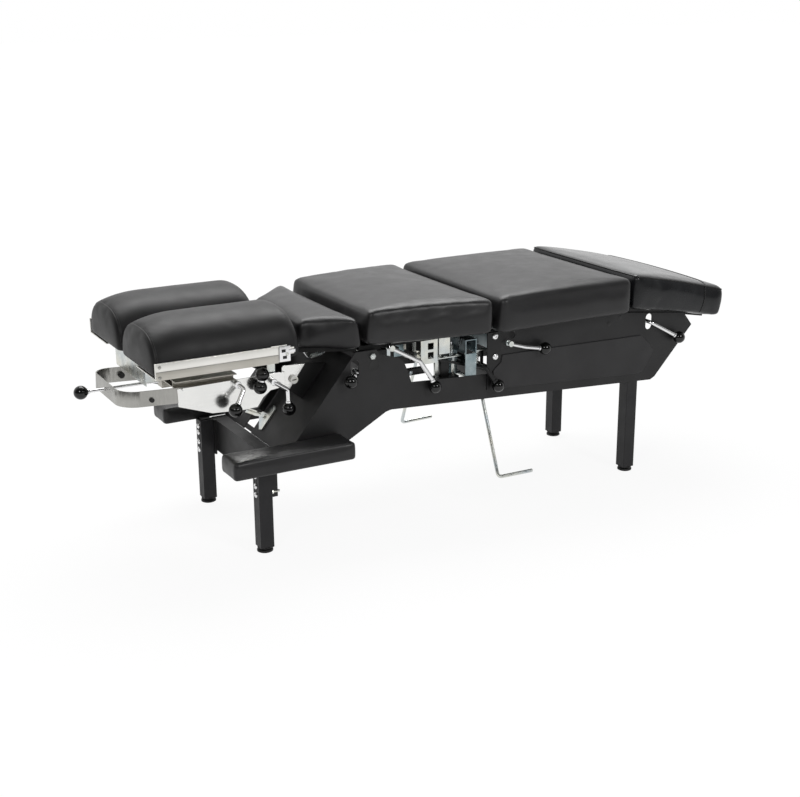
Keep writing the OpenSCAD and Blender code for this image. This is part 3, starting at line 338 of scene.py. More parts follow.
def rounded_path(points, bend_r, steps=8):
    """The points with each corner replaced by an arc."""
    out = [points[0]]
    for before, corner, after in zip(points, points[1:], points[2:]):
        a, b = (before - corner), (after - corner)
        angle = a.angle(b)
        reach = min(bend_r / math.tan(angle / 2), 0.45 * a.length, 0.45 * b.length)
        p, q = corner + a.normalized() * reach, corner + b.normalized() * reach
        for k in range(steps + 1):
            t = k / steps
            out.append(p * (1 - t) ** 2 + corner * 2 * t * (1 - t) + q * t ** 2)
    out.append(points[-1])
    return out


def tube_mesh(name, path, radii, count=20):
    """A round bar along a path. radii is one radius, or one for each point."""
    if not hasattr(radii, "__len__"):
        radii = [radii] * len(path)
    steps = [(b - a).normalized() for a, b in zip(path, path[1:])]
    between = [(a + b).normalized() for a, b in zip(steps, steps[1:])]
    directions = [steps[0]] + between + [steps[-1]]
    rings = []
    for p, r, (u, v) in zip(path, radii, frame_along(directions)):
        rings.append([p + u * r * math.cos(a) + v * r * math.sin(a)
                      for a in (2 * math.pi * i / count for i in range(count))])
    return rings_mesh(name, rings)


def lathe_mesh(name, profile, start, axis, count=40):
    """Turns a profile of (radius, distance) about an axis."""
    axis = axis.normalized()
    u, v = frame_along([axis])[0]
    rings = [[start + axis * d + (u * math.cos(a) + v * math.sin(a)) * r
              for a in (2 * math.pi * i / count for i in range(count))] for r, d in profile]
    return rings_mesh(name, rings)


def turned(name, profile_mm, start, axis, body, slot, material=None, count=40):
    profile = [(max(r, 0.01) * MM, d * MM) for r, d in profile_mm]
    obj = join_object(name, lathe_mesh(name, profile, start, axis, count), body, slot, material)
    smooth_by_angle(obj)
    return obj


def bevelled_piece(name, bm, bevel, body, slot, material):
    """Breaks the edges of a bmesh and joins it as a piece. bevel is in metres."""
    bmesh.ops.bevel(bm, geom=list(bm.edges), offset=bevel, segments=2, profile=0.6, affect="EDGES")
    mesh = bpy.data.meshes.new(name)
    bm.to_mesh(mesh)
    bm.free()
    obj = join_object(name, mesh, body, slot, material)
    smooth_by_angle(obj)
    return obj


def bevelled_box(name, low, high, body, slot, material=None, bevel=0.8):
    """A block with broken edges."""
    bm = bmesh.new()
    bmesh.ops.create_cube(bm, size=1)
    size, mid = high - low, (high + low) / 2
    for v in bm.verts:
        v.co = Vector((v.co.x * size.x, v.co.y * size.y, v.co.z * size.z)) + mid
    return bevelled_piece(name, bm, min(bevel * MM, 0.3 * min(size)), body, slot, material)


def plate_piece(name, outline, depth, body, slot, bevel=0.5):
    """A flat plate: its outline's points in the row frame, pushed by depth, with broken edges."""
    bm = bmesh.new()
    face = bm.faces.new([bm.verts.new(p) for p in outline])
    pushed = bmesh.ops.extrude_face_region(bm, geom=[face])["geom"]
    bmesh.ops.translate(bm, vec=depth, verts=[g for g in pushed if isinstance(g, bmesh.types.BMVert)])
    bmesh.ops.recalc_face_normals(bm, faces=bm.faces)
    return bevelled_piece(name, bm, bevel * MM, body, slot, None)


def coil_points(start, axis, radius, turns, pitch, per_turn=16):
    axis = axis.normalized()
    u, v = frame_along([axis])[0]
    points = []
    for k in range(int(turns * per_turn) + 1):
        a = 2 * math.pi * k / per_turn
        points.append(start + axis * (pitch * k / per_turn) + (u * math.cos(a) + v * math.sin(a)) * radius)
    return points


# CAD nodes that stay: their finish, and a small bevel where two faces meet sharply

BEVELS = {name: width for width, names in {
    0.4: "front_panel front_crossbeam",
    0.6: "head_plate_near head_plate_far pivot_brackets clamp_bracket dorsal_guides armrest_plate_near"
         " armrest_plate_far",
    0.7: "head_handle head_drop_plate head_cross_tray drop_channels",
    0.8: "lever_plate head_carriage",
    0.9: "head_rail_near head_rail_far",
    1.0: "thoracic_frame dorsal_frame pelvic_frame foot_frame",
    1.2: "cam_housing rear_crossmember mid_crossmembers",
    1.4: "side_covers",
    1.6: "front_leg_near front_leg_far rear_leg_near rear_leg_far",
}.items() for name in names.split()}


def finish_cad_nodes():
    for name, obj in frame["nodes"].items():
        obj.data.materials.clear()
        obj.data.materials.append(MATERIALS[CAD_MATERIALS[name]])
        if name in BEVELS:
            weld = obj.modifiers.new("weld", "WELD")
            weld.merge_threshold = 0.00002
            bevel = obj.modifiers.new("bevel", "BEVEL")
            bevel.width = BEVELS[name] * MM
            bevel.segments = 2
            bevel.limit_method = "ANGLE"
            bevel.angle_limit = math.radians(40)
            bevel.harden_normals = True
            bevel.use_clamp_overlap = True


# Cushions

CORNER_STEPS, LONG_STEPS, CROSS_STEPS = 7, 26, 18


def ring_outline(x0, x1, h0, h1, r, pull):
    """A closed outline with round corners: x0 and x1 are its ends, h0 and h1 its half widths there."""
    def arc(cx, cy, a0):
        angles = [math.radians(a0 + 90 * i / CORNER_STEPS) for i in range(CORNER_STEPS + 1)]
        return [(cx + r * math.cos(a), cy + r * math.sin(a)) for a in angles]

    def side(a, b, steps, pull_x, pull_y):
        out = []
        for i in range(1, steps + 1):
            t = i / (steps + 1)
            s = 4 * t * (1 - t)
            out.append((a[0] + (b[0] - a[0]) * t + pull_x * s, a[1] + (b[1] - a[1]) * t + pull_y * s))
        return out

    return (arc(x1 - r, h1 - r, 0) + side((x1 - r, h1), (x0 + r, h0), LONG_STEPS, 0, -pull)
            + arc(x0 + r, h0 - r, 90) + side((x0, h0 - r), (x0, r - h0), CROSS_STEPS, pull / 2, 0)
            + arc(x0 + r, r - h0, 180) + side((x0 + r, -h0), (x1 - r, -h1), LONG_STEPS, 0, pull)
            + arc(x1 - r, r - h1, 270) + side((x1, r - h1), (x1, h1 - r), CROSS_STEPS, -pull / 2, 0))


def pad_rings(x0, x1, h, t, u, under, arch, crown, lean=(0, 0), edge=10, corner=14, pull=3):
    """Rings of a seat pad in millimetres, from its underside to its middle, as in the CAD source."""
    levels = [(0, 0, 0.3 * edge, 0), (0, 0.3 * edge, 0, 0), (0.25, 0, -0.1 * edge, 0),
              (0.5, 0, -0.15 * edge, 0), (0.75, 0, -0.1 * edge, 0)]
    levels += [(1, -edge * (1 - math.sin(a)), edge * (1 - math.cos(a)), 0)
               for a in (math.radians(15 * k) for k in range(7))]
    levels += [(1, 0, edge, k / 9) for k in range(1, 9)]
    base = ring_outline(x0 + under, x1 - under, h[0] - under, h[1] - under, corner, 0)
    rings = [[(p[0], p[1], 0) for p in base]]
    for share, off, inset, q in levels:
        in_x = inset + ((x1 - x0) / 2 - inset) * q
        in_0, in_1 = (h[0] - inset) * q + inset, (h[1] - inset) * q + inset
        ring = ring_outline(x0 + in_x - lean[0] * share, x1 - in_x - lean[1] * share,
                            h[0] - in_0, h[1] - in_1, max(corner - inset, 4) * (1 - q), pull * (1 - q))
        out = []
        for x, y in ring:
            w = (x - x0) / (x1 - x0)
            low = u[0] + (u[1] - u[0]) * w
            high = t[0] + (t[1] - t[0]) * w + arch * 4 * w * (1 - w)
            if q:
                a = (2 * w - 1) / (1 - 2 * edge / (x1 - x0))
                b = y / (h[0] + (h[1] - h[0]) * w - edge)
                off = crown * max(0, 1 - a * a) * max(0, 1 - b * b)
            out.append((x, y, low + (high - low) * share + off))
        rings.append(out)
    return rings


PRESSURE, FRAMES = 4.0, 20


def puff(obj, cap):
    """Swells a closed pad with a cloth simulation. No point moves further than cap metres."""
    mesh = obj.data
    rest = np.array([v.co for v in mesh.vertices], float)
    scene = bpy.context.scene
    low = rest[:, 2].min()
    pins = obj.vertex_groups.new(name="base")
    pins.add([i for i, p in enumerate(rest) if p[2] < low + 0.006], 1.0, "REPLACE")
    cloth = obj.modifiers.new("cloth", "CLOTH")
    s = cloth.settings
    s.quality = 4
    s.mass = 0.4
    s.tension_stiffness = s.compression_stiffness = s.shear_stiffness = 30
    s.bending_stiffness = 4
    s.use_pressure = True
    s.uniform_pressure_force = PRESSURE
    s.effector_weights.gravity = 0
    s.vertex_group_mass = "base"
    cloth.collision_settings.use_collision = False
    cloth.point_cache.frame_start, cloth.point_cache.frame_end = 1, FRAMES
    for f in range(1, FRAMES + 1):
        scene.frame_set(f)
    ev = obj.evaluated_get(bpy.context.evaluated_depsgraph_get())
    moved = np.array([v.co for v in ev.data.vertices], float)
    obj.modifiers.remove(cloth)
    obj.vertex_groups.clear()
    scene.frame_set(1)
    step = moved - rest
    length = np.linalg.norm(step, axis=1)
    scale = np.minimum(1, cap / np.maximum(length, 1e-9))
    mesh.vertices.foreach_set("co", (rest + step * scale[:, None]).astype(np.float32).ravel())
    mesh.update()


def relax(obj, times):
    """Smooths a mesh by moving each point half way towards its neighbours."""
    bm = bmesh.new()
    bm.from_mesh(obj.data)
    for _ in range(times):
        bmesh.ops.smooth_vert(bm, verts=bm.verts, factor=0.5, use_axis_x=True, use_axis_y=True,
                              use_axis_z=True)
    bm.to_mesh(obj.data)
    bm.free()


def remesh(obj, voxel):
    mod = obj.modifiers.new("remesh", "REMESH")
    mod.mode = "VOXEL"
    mod.voxel_size = voxel
    mod.use_smooth_shade = True
    dg = bpy.context.evaluated_depsgraph_get()
    mesh = bpy.data.meshes.new_from_object(obj.evaluated_get(dg))
    obj.modifiers.clear()
    old = obj.data
    obj.data = mesh
    bpy.data.meshes.remove(old)


def cushion(name, rings, node, slot, cap, voxel=0.006, place=at, ease=7):
    """A padded piece from rings in millimetres: remeshed, swollen by a short simulation and smoothed."""
    mesh = rings_mesh(name, [[place(*p) for p in ring] for ring in rings])
    obj = join_object(name, mesh, BODY_OF[node], slot)
    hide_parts(node)
    remesh(obj, voxel)
    puff(obj, cap)
    relax(obj, ease)
    obj.data.shade_smooth()
    sub = obj.modifiers.new("smooth", "SUBSURF")
    sub.levels = sub.render_levels = 1
    return obj


def on_surface(obj, points, lift=0.0):
    """The points moved to the nearest place on a piece, lifted along its normal."""
    dg = bpy.context.evaluated_depsgraph_get()
    ev = obj.evaluated_get(dg)
    tree = BVHTree.FromObject(ev, dg)
    out = []
    for p in points:
        hit, normal, _, _ = tree.find_nearest(p)
        out.append(hit + normal * lift)
    return out


def welt(name, obj, points, radius, slot, lift):
    """A cord or seam line that lies on a piece."""
    mesh = tube_mesh(name, on_surface(obj, points, lift), radius, 10)
    join_object(name, mesh, obj["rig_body"], slot, "piping")


def stitches(name, obj, points, slot, gap=4.2, length=2.6, radius=0.35):
    """A row of stitches along a line on a piece, joined in one mesh."""
    path = on_surface(obj, points)
    lengths = [0.0]
    for a, b in zip(path, path[1:]):
        lengths.append(lengths[-1] + (b - a).length)
    total = lengths[-1]

    def place(s):
        k = min(max(np.searchsorted(lengths, s) - 1, 0), len(path) - 2)
        t = (s - lengths[k]) / max(lengths[k + 1] - lengths[k], 1e-9)
        return path[k].lerp(path[k + 1], t)

    verts, faces = [], []
    for k in range(int(total / (gap * MM))):
        a, b = place(k * gap * MM), place((k * gap + length) * MM)
        lifted = on_surface(obj, [a, (a + b) / 2, b], radius * MM * 0.7)
        part = tube_mesh("stitch", lifted, [radius * MM * 0.5, radius * MM, radius * MM * 0.5], 6)
        base = len(verts)
        verts += [v.co.copy() for v in part.vertices]
        faces += [tuple(base + i for i in f.vertices) for f in part.polygons]
        bpy.data.meshes.remove(part)
    join_object(name, mesh_of(name, verts, faces), obj["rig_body"], slot, "thread")


# Measures of the pads, in millimetres as in the CAD source
DECK_Z = local(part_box("dorsal_cushion")[0]).z
DORSAL = (290.066, 664.066)
PELVIC = (672.066, 1134.066)
FOOT_X, FOOT_Z, FOOT_TILT, FOOT_L = 1142.066, 526.967, math.radians(10.6), 354
# How far a point of a seat pad may swell, in metres
SWELL = 0.003


def seat_place(x, y, z):
    return at(x, y, DECK_Z + z)


def foot_place(x, y, z):
    return at(FOOT_X + x * math.cos(FOOT_TILT) + z * math.sin(FOOT_TILT), y,
              FOOT_Z - x * math.sin(FOOT_TILT) + z * math.cos(FOOT_TILT))


def make_seats():
    thoracic = pad_rings(137, 281.5, (160, 242), (73, 89), (3, 6), 20, 2, 5, (0, 11))
    cushion("thoracic_pad", thoracic, "thoracic_cushion", "seat_vinyl", SWELL, place=seat_place)
    dorsal = pad_rings(DORSAL[0] + 4, DORSAL[1] - 5, (242, 283), (98, 97), (10, 5), 30, 8, 8, (-5, -5))
    cushion("dorsal_pad", dorsal, "dorsal_cushion", "seat_vinyl", SWELL, place=seat_place)
    pelvic = pad_rings(PELVIC[0] + 7, PELVIC[1] - 1, (283, 277), (98, 101), (2, 2), 8, 6, 8, (-5, -5))
    cushion("pelvic_pad", pelvic, "pelvic_cushion", "seat_vinyl", SWELL, place=seat_place)


# Foot cushion: a pad with piped edges, a clear cover stretched over its top, and a boot at its tail
FOOT_HEAD_HALF, FOOT_TAIL_HALF = 268, 258
FOOT_HEAD_T, FOOT_TAIL_T = 100, 86
BOOT_L = 76
PIPING_R, HEM_R, PIPING_LIFT = 0.0022, 0.0016, 0.0008


def foot_top(x):
    """Half width and height of the foot pad's top edge at a place along it."""
    w = x / FOOT_L
    half = FOOT_HEAD_HALF + (FOOT_TAIL_HALF - FOOT_HEAD_HALF) * w
    return half, FOOT_HEAD_T + (FOOT_TAIL_T - FOOT_HEAD_T) * w + 6 * 4 * w * (1 - w)


def make_foot():
    rings = pad_rings(0.5, FOOT_L - 1, (FOOT_HEAD_HALF, FOOT_TAIL_HALF), (FOOT_HEAD_T, FOOT_TAIL_T), (2, 2),
                      6, 6, 8, (8, 0))
    pad = cushion("foot_pad", rings, "foot_cushion", "foot_vinyl", SWELL, place=foot_place)
    for side, name in SIDES:
        line = []
        for k in range(41):
            x = 4 + (FOOT_L - 10) * k / 40
            half, t = foot_top(x)
            line.append(foot_place(x - 4, side * (half - 2), t - 2))
        welt(f"foot_piping_{name}", pad, line, PIPING_R, "foot_vinyl", PIPING_LIFT)
    head = [foot_place(-6, y, FOOT_HEAD_T - 2) for y in np.linspace(-262, 262, 31)]
    welt("foot_piping_head", pad, head, PIPING_R, "foot_vinyl", PIPING_LIFT)
    boot_x = FOOT_L - BOOT_L
    half, t = foot_top(boot_x)
    loop = ([foot_place(boot_x - 6, -half + 2, z) for z in np.linspace(4, t - 8, 14)]
            + [foot_place(boot_x, y, t + 6) for y in np.linspace(-half + 10, half - 10, 41)]
            + [foot_place(boot_x - 6, half - 2, z) for z in np.linspace(t - 8, 4, 14)])
    welt("foot_boot_hem", pad, loop, HEM_R, "foot_vinyl", 0.0004)


# Head cushions: a domed section along the table, lower towards the head, and rounded at the tail
LOAF_W, LOAF_H, LOAF_HEAD_H = 252, 123, 99
LOAF_HEAD_RUN, LOAF_TAIL_R = 120, 36
LOAF_ROUND = 0.74  # exponent of the domed section: 1 is an ellipse, less is fuller
SEAM_X, STITCH_X = 10, 15


def dome(w, h, steps=28):
    """Points of a domed section, from one lower edge over the top to the other."""
    out = []
    for k in range(steps + 1):
        c, d = math.cos(math.pi * k / steps), math.sin(math.pi * k / steps)
        out.append((math.copysign(abs(c) ** LOAF_ROUND, c) * w, d ** LOAF_ROUND * h))
    return out


def loaf_height(x, length):
    t = min(1, x / LOAF_HEAD_RUN)
    rise = LOAF_HEAD_H + (LOAF_H - LOAF_HEAD_H) * (1 - (1 - t) ** 2.2)
    over = x - (length - LOAF_TAIL_R)
    if over > 0:
        rise -= 1.1 * LOAF_TAIL_R * (1 - math.sqrt(max(0, 1 - (over / LOAF_TAIL_R) ** 2)))
    return rise


def loaf_rings(x0, x1, mid_y, z0):
    length = x1 - x0
    stations = [(0, 13), (0.6, 9), (2.5, 5), (6, 1.6), (11, 0)]
    stations += [(x, 0) for x in range(24, int(length - LOAF_TAIL_R), 14)]
    stations += [(length - LOAF_TAIL_R * (1 - math.sin(a)), 15 * (1 - math.cos(a)) ** 2)
                 for a in map(math.radians, (0, 14, 28, 42, 54, 64, 72, 79, 85, 88))]
    rings = []
    for x, inset in stations:
        h = loaf_height(x, length) - 0.6 * inset
        rings.append([(x0 + x, mid_y + y, z0 + z) for y, z in dome(LOAF_W / 2 - inset, h)])
    return rings


def make_heads():
    for _, name in SIDES:
        a, b = (local(v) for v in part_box(f"head_cushion_{name}"))
        mid_y = (a.y + b.y) / 2
        pad = cushion(f"head_pad_{name}", loaf_rings(a.x + 2, b.x + 7, mid_y, a.z + 0.5),
                      f"head_cushion_{name}", "head_vinyl", 0.005, place=at)

        def arch(x):
            section = dome(LOAF_W / 2, loaf_height(x, b.x - a.x), 56)[2:-2]
            return [at(a.x + x, mid_y + y, a.z + z) for y, z in section]

        welt(f"head_seam_{name}", pad, arch(SEAM_X), 0.0011, "head_vinyl", -0.0003)
        stitches(f"head_stitches_{name}", pad, arch(STITCH_X), "head_vinyl")


def make_armrests():
    for _, name in SIDES:
        a, b = (local(v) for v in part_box(f"armrest_pad_{name}"))
        mid_y, half = (a.y + b.y) / 2, (b.y - a.y) / 2

        def place(x, y, z):
            return at(x, mid_y + y, a.z - 6 + z)

        rings = pad_rings(a.x - 6, b.x - 0.5, (half - 1, half - 1), (47, 47), (1, 1), 5, 0, 3,
                          edge=6, corner=8, pull=2)
        cushion(f"arm_pad_{name}", rings, f"armrest_pad_{name}", "seat_vinyl", 0.001, voxel=0.004,
                place=place, ease=2)


# Levers

KNOB_R, NECK_R, ROD_R, HUB_R = 18, 8, 5.9, 9


def knob(name, centre, direction, body):
    """A ball knob: a sphere with a flat neck where the rod enters it."""
    profile = [(0, -KNOB_R)]
    for k in range(1, 22):
        a = math.radians(-90 + 7.4 * k)
        profile.append((KNOB_R * math.cos(a), KNOB_R * math.sin(a)))
    neck = math.sqrt(KNOB_R ** 2 - NECK_R ** 2)
    profile += [(NECK_R, neck), (7.8, neck + 1.2), (6.6, neck + 2.0), (0, neck + 2.0)]
    turned(name, profile, centre, -direction, body, "black_knob", count=48)


def rod_piece(name, path, radius, body, slot, material=None, count=24):
    rod = join_object(name, tube_mesh(name, path, radius, count), body, slot, material)
    smooth_by_angle(rod)
    return rod


def lever(node, joint, offsets, hub=None, material="chrome_rod", bend=16):
    """A bent rod with its knob. offsets are from its joint, and hub is the y span of a hub at its pivot."""
    body = BODY_OF[node]
    start = pivot(joint)
    points = [start + Vector(o) * MM for o in offsets]
    tip = points[-1]
    end = (tip - points[-2]).normalized()
    bent = rounded_path(points[:-1] + [tip - end * 0.010], bend * MM)
    slot = "black_knob" if material == "black_steel" else "chrome_rod"
    rod = rod_piece(f"{node}_rod", bent, ROD_R * MM, body, slot, material)
    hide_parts(node)
    knob(f"{node}_knob", tip, end, body)
    ferrule = [(0, -4), (ROD_R + 0.2, -4), (ROD_R + 1.6, -3.4), (ROD_R + 1.6, 1.4), (ROD_R + 0.8, 2), (0, 2)]
    turned(f"{node}_ferrule", ferrule, tip - end * 0.0205, -end, body, "chrome_rod", material)
    if hub:
        width = hub[1] - hub[0]
        profile = [(0, 0), (HUB_R - 1, 0), (HUB_R, 1), (HUB_R, width - 1), (HUB_R - 1, width), (0, width)]
        turned(f"{node}_hub", profile, Vector((points[0].x, hub[0] * MM, points[0].z)), ACROSS, body,
               "chrome_rod", material)


def make_levers():
    lever("thoracic_lever", "thoracic_cock", [(0, 0, 0), (-29, -4.5, 12), (-36, -32.5, 6), (-55, -46.5, -7)],
          (-195, -183))
    lever("dorsal_lever", "dorsal_cock", [(0, 0, 0), (87, -3, -48.6), (122, -7, -102.6), (131, -9, -125.6)],
          (-226.5, -214.5))
    lever("tension_lever", "drop_tension", [(0, 0, 0), (46, -104.5, 0), (54, -111.5, -13), (84, -115.5, -57)],
          material="black_steel", bend=14)
    lever("pelvic_lever", "pelvic_cock", [(0, 14, 0), (5, -3, -2), (49, -6, -15), (113, -11, -27)], bend=8)
    lever("foot_lever", "foot_lock", [(0, 0, 0), (34, 0, -2), (43, -29.5, -6), (142, -39.5, -61)],
          (-198, -186))
    lever("head_drop_lever", "head_drop_cock", [(0, 0, 0), (11, -14, -10), (-22, -34, -57)], (-146, -129.4),
          bend=9)
    lever("head_lock_lever", "head_lock_turn", [(0, 0, 0), (37, -6, -25), (39, -6, -78)], (-150, -129.4),
          bend=10)


def make_tension_knobs():
    """Two ball knobs on a cross pin through one spindle of the headpiece."""
    middle = pivot("head_tension_turn")
    body = BODY_OF["head_tension_lever"]
    reach = Vector((3.5, 0, 16)) * MM
    spindle = turned("head_tension_spindle", [(0, 0), (4.5, 0), (4.5, 22), (0, 22)], middle, ACROSS, body,
                     "chrome_rod")
    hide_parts("head_tension_lever")
    for sign, name in ((1, "upper"), (-1, "lower")):
        knob(f"head_tension_knob_{name}", middle + reach * sign * 1.05, reach.normalized() * sign, body)
    collar = [(0, -3.4), (8.6, -3.4), (9.4, -2.6), (9.4, 2.6), (8.6, 3.4), (0, 3.4)]
    turned("head_tension_collar", collar, middle, reach, body, "chrome_rod")


def make_tilt_release():
    body = BODY_OF["tilt_release"]
    low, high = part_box("tilt_release")
    z = (low.z + high.z) / 2
    knob_at, inner = Vector((low.x + KNOB_R * MM, 0, z)), Vector((high.x, 0, z))
    rod = rod_piece("tilt_release_shaft", [knob_at + Vector((0.01, 0, 0)), inner], 0.004, body, "chrome_rod",
                    count=20)
    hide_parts("tilt_release")
    knob("tilt_release_knob", knob_at, Vector((-1, 0, 0)), body)
    turned("tilt_release_ferrule", [(0, 0), (5.6, 0), (6.2, 0.6), (6.2, 5.4), (5.6, 6), (0, 6)],
           knob_at + Vector((0.0175, 0, 0)), ALONG, body, "chrome_rod")
    guide = local(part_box("head_handle")[0]).x
    turned("tilt_release_guide", [(5, 0), (8, 0), (8.6, 0.6), (8.6, 4.4), (8, 5), (5, 5)],
           at(guide + 3.2, 0, z / MM), ALONG, BODY_OF["head_handle"], "zinc")


def make_pedals():
    hub = pivot("pedal_press")
    for side, name in SIDES:
        offsets = ((0, side * 174, 0), (0, side * 280, -250), (111, side * 284, -249))
        points = [hub + Vector(o) * MM for o in offsets]
        body = BODY_OF[f"pedal_rod_{name}"]
        rod = rod_piece(f"pedal_bar_{name}", rounded_path(points, 0.014), 0.005, body, "chrome_rod", "zinc")
        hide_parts(f"pedal_rod_{name}")
        turned(f"pedal_sleeve_{name}", [(6.2, -12), (10, -12), (11, -11), (11, 11), (10, 12), (6.2, 12)],
               hub + Vector((0, side * 0.174, 0)), ACROSS, body, "zinc")


# Fasteners, feet and the drop mechanism

PANEL_Y = 210.5
LEG_BOLT_DROPS = (18, 37, 65, 89)
PLATE_BOLTS = ((708.07, 493.4), (709.07, 434.4))


def hex_bolt(name, centre, out, r, t, body, slot="zinc", material=None):
    """A domed bolt head with a recess, on a face that looks along out."""
    profile = [(0, 0), (r, 0), (r, 0.15 * t), (0.96 * r, 0.45 * t), (0.8 * r, 0.75 * t), (0.62 * r, 0.93 * t),
               (0.42 * r, t), (0.36 * r, t), (0.32 * r, 0.45 * t), (0, 0.4 * t)]
    return turned(name, profile, centre, out, body, slot, material, count=36)


def hex_nut(name, centre, out, r, t, body):
    u, v = frame_along([out.normalized()])[0]
    angles = [math.radians(60 * k) for k in range(6)]
    ring = [centre + (u * math.cos(a) + v * math.sin(a)) * r * MM for a in angles]
    plate_piece(name, ring, out.normalized() * t * MM, body, "zinc", bevel=0.6)


def make_bolts():
    """Leg bolts, plate bolts and the bolts at the front corners, in place of the plain CAD heads."""
    body = BODY_OF["frame_bolts"]
    low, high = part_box("front_leg_near")
    leg_face, leg_back, beam_z = local(low).x, local(high).x, local(high).z
    for side, name in SIDES:
        y = side * abs(local((low + high) / 2).y)
        for k, drop in enumerate(LEG_BOLT_DROPS):
            head = at(leg_face, y, beam_z - drop)
            bolt = hex_bolt(f"leg_bolt_{name}_{k}", head, Vector((-1, 0, 0)), 8, 4.5, body,
                            material="chrome_rod")
            if name == "near" and k == 0:
                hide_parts("frame_bolts")
        stud = at(leg_back + 5, y, beam_z - LEG_BOLT_DROPS[-1])
        turned(f"leg_stud_{name}", [(0, 0), (3.6, 0), (3.6, 22), (3, 23), (0, 23)], stud, ALONG, body, "zinc",
               count=16)
        hex_nut(f"leg_nut_{name}", stud, ALONG, 6.6, 5, body)
        corner = at(36, side * PANEL_Y, beam_z - 12)
        hex_bolt(f"corner_bolt_{name}", corner, Vector((0, side, 0)), 6.5, 4, body)
    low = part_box("lever_plate")[0]
    for k, (x, z) in enumerate(PLATE_BOLTS):
        head = Vector((at(x, 0, 0).x, low.y, z * MM))
        hex_bolt(f"plate_bolt_{k}", head, Vector((0, -1, 0)), 9.5, 4.5, body, material="chrome_rod")


def make_shafts():
    """Cross shafts. The front one ends in nuts, and the others end flush under a painted cap."""
    body = BODY_OF["cross_shafts"]
    for k, joint in enumerate(("dorsal_drop", "pelvic_drop", "foot_raise")):
        centre = pivot(joint)
        bar = turned(f"cross_shaft_{k}", [(0, -210), (6, -210), (6, 210), (0, 210)], centre, ACROSS, body,
                     "zinc", count=28)
        if k == 0:
            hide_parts("cross_shafts")
        for side, name in SIDES:
            face = centre + Vector((0, side * PANEL_Y, 0)) * MM
            out = Vector((0, side, 0))
            if k == 0:
                hex_nut(f"shaft_nut_{name}", face, out, 8.6, 6, body)
                turned(f"shaft_end_{name}", [(0, 0), (5.4, 0), (5.4, 7.6), (4.6, 8.4), (0, 8.4)], face, out,
                       body, "zinc", count=20)
            else:
                turned(f"shaft_cap_{name}_{k}", [(0, 0), (7.4, 0), (7.4, 0.25), (6.8, 0.5), (0, 0.5)], face,
                       out, body, "black_powder", count=32)
    # A black ring at the rim of each panel plug is painted shadow: it stands in for the shade inside the
    # plug's recess.
    plug_at = pivot("dorsal_drop") + Vector((0.005, 0, -0.028))
    for side, name in SIDES:
        out = Vector((0, side, 0))
        turned(f"plug_rim_painted_shadow_{name}", [(12.6, 0), (15.2, 0), (15.4, 0.5), (14.6, 0.9), (13, 0.4)],
               Vector((plug_at.x, side * 0.2101, plug_at.z)), out, body, "black_plastic", count=48)
        turned(f"pedal_cap_{name}", [(0, 0), (8, 0), (8, 0.3), (7.2, 0.6), (0, 0.6)],
               pivot("pedal_press") + Vector((0, side * PANEL_Y * MM, 0)), out, body, "black_powder")


def make_feet():
    """Levelling feet: a rubber disc, a stud and a rim on the disc."""
    body = BODY_OF["levelling_feet"]
    disc_profile = [(0, 0), (19.5, 0), (21.5, 1.2), (21.5, 5.2), (20, 7), (12.5, 7.4), (10.5, 9.2), (0, 10)]
    for leg in ("front_leg_near", "front_leg_far", "rear_leg_near", "rear_leg_far"):
        low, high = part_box(leg)
        foot = Vector(((low.x + high.x) / 2, (low.y + high.y) / 2, 0))
        disc = turned(f"foot_disc_{leg}", disc_profile, foot, UP, body, "black_rubber", count=48)
        if leg == "front_leg_near":
            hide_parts("levelling_feet")
        turned(f"foot_stud_{leg}", [(0, 0), (4.9, 0), (4.9, 26), (0, 26)], foot + Vector((0, 0, 0.009)), UP,
               body, "zinc", count=20)
        turned(f"foot_rim_{leg}", [(16, 0), (20.2, 0), (20.2, 2.4), (16, 2.4)], foot + Vector((0, 0, 0.0108)),
               UP, body, "black_plastic", count=40)


def coil_spring(name, start, end, r, turns, body, wire=1.3):
    along = end - start
    points = coil_points(start, along.normalized(), r * MM, turns, along.length / turns)
    join_object(name, tube_mesh(name, points, wire * MM, 8), body, "zinc")


# Heights of the mechanism's tray, of the foot of its posts, and of its shelf, and places across the table
TRAY_Z, POST_Z, SHELF_Z, SHELF_TOP = 384, 389, 443.5, 447
GUIDE_Y, BAR_Y, TAB_Y, STOP_Y, TIE_Y = 172, 176, 180, 182, 184
STOP_X = 665


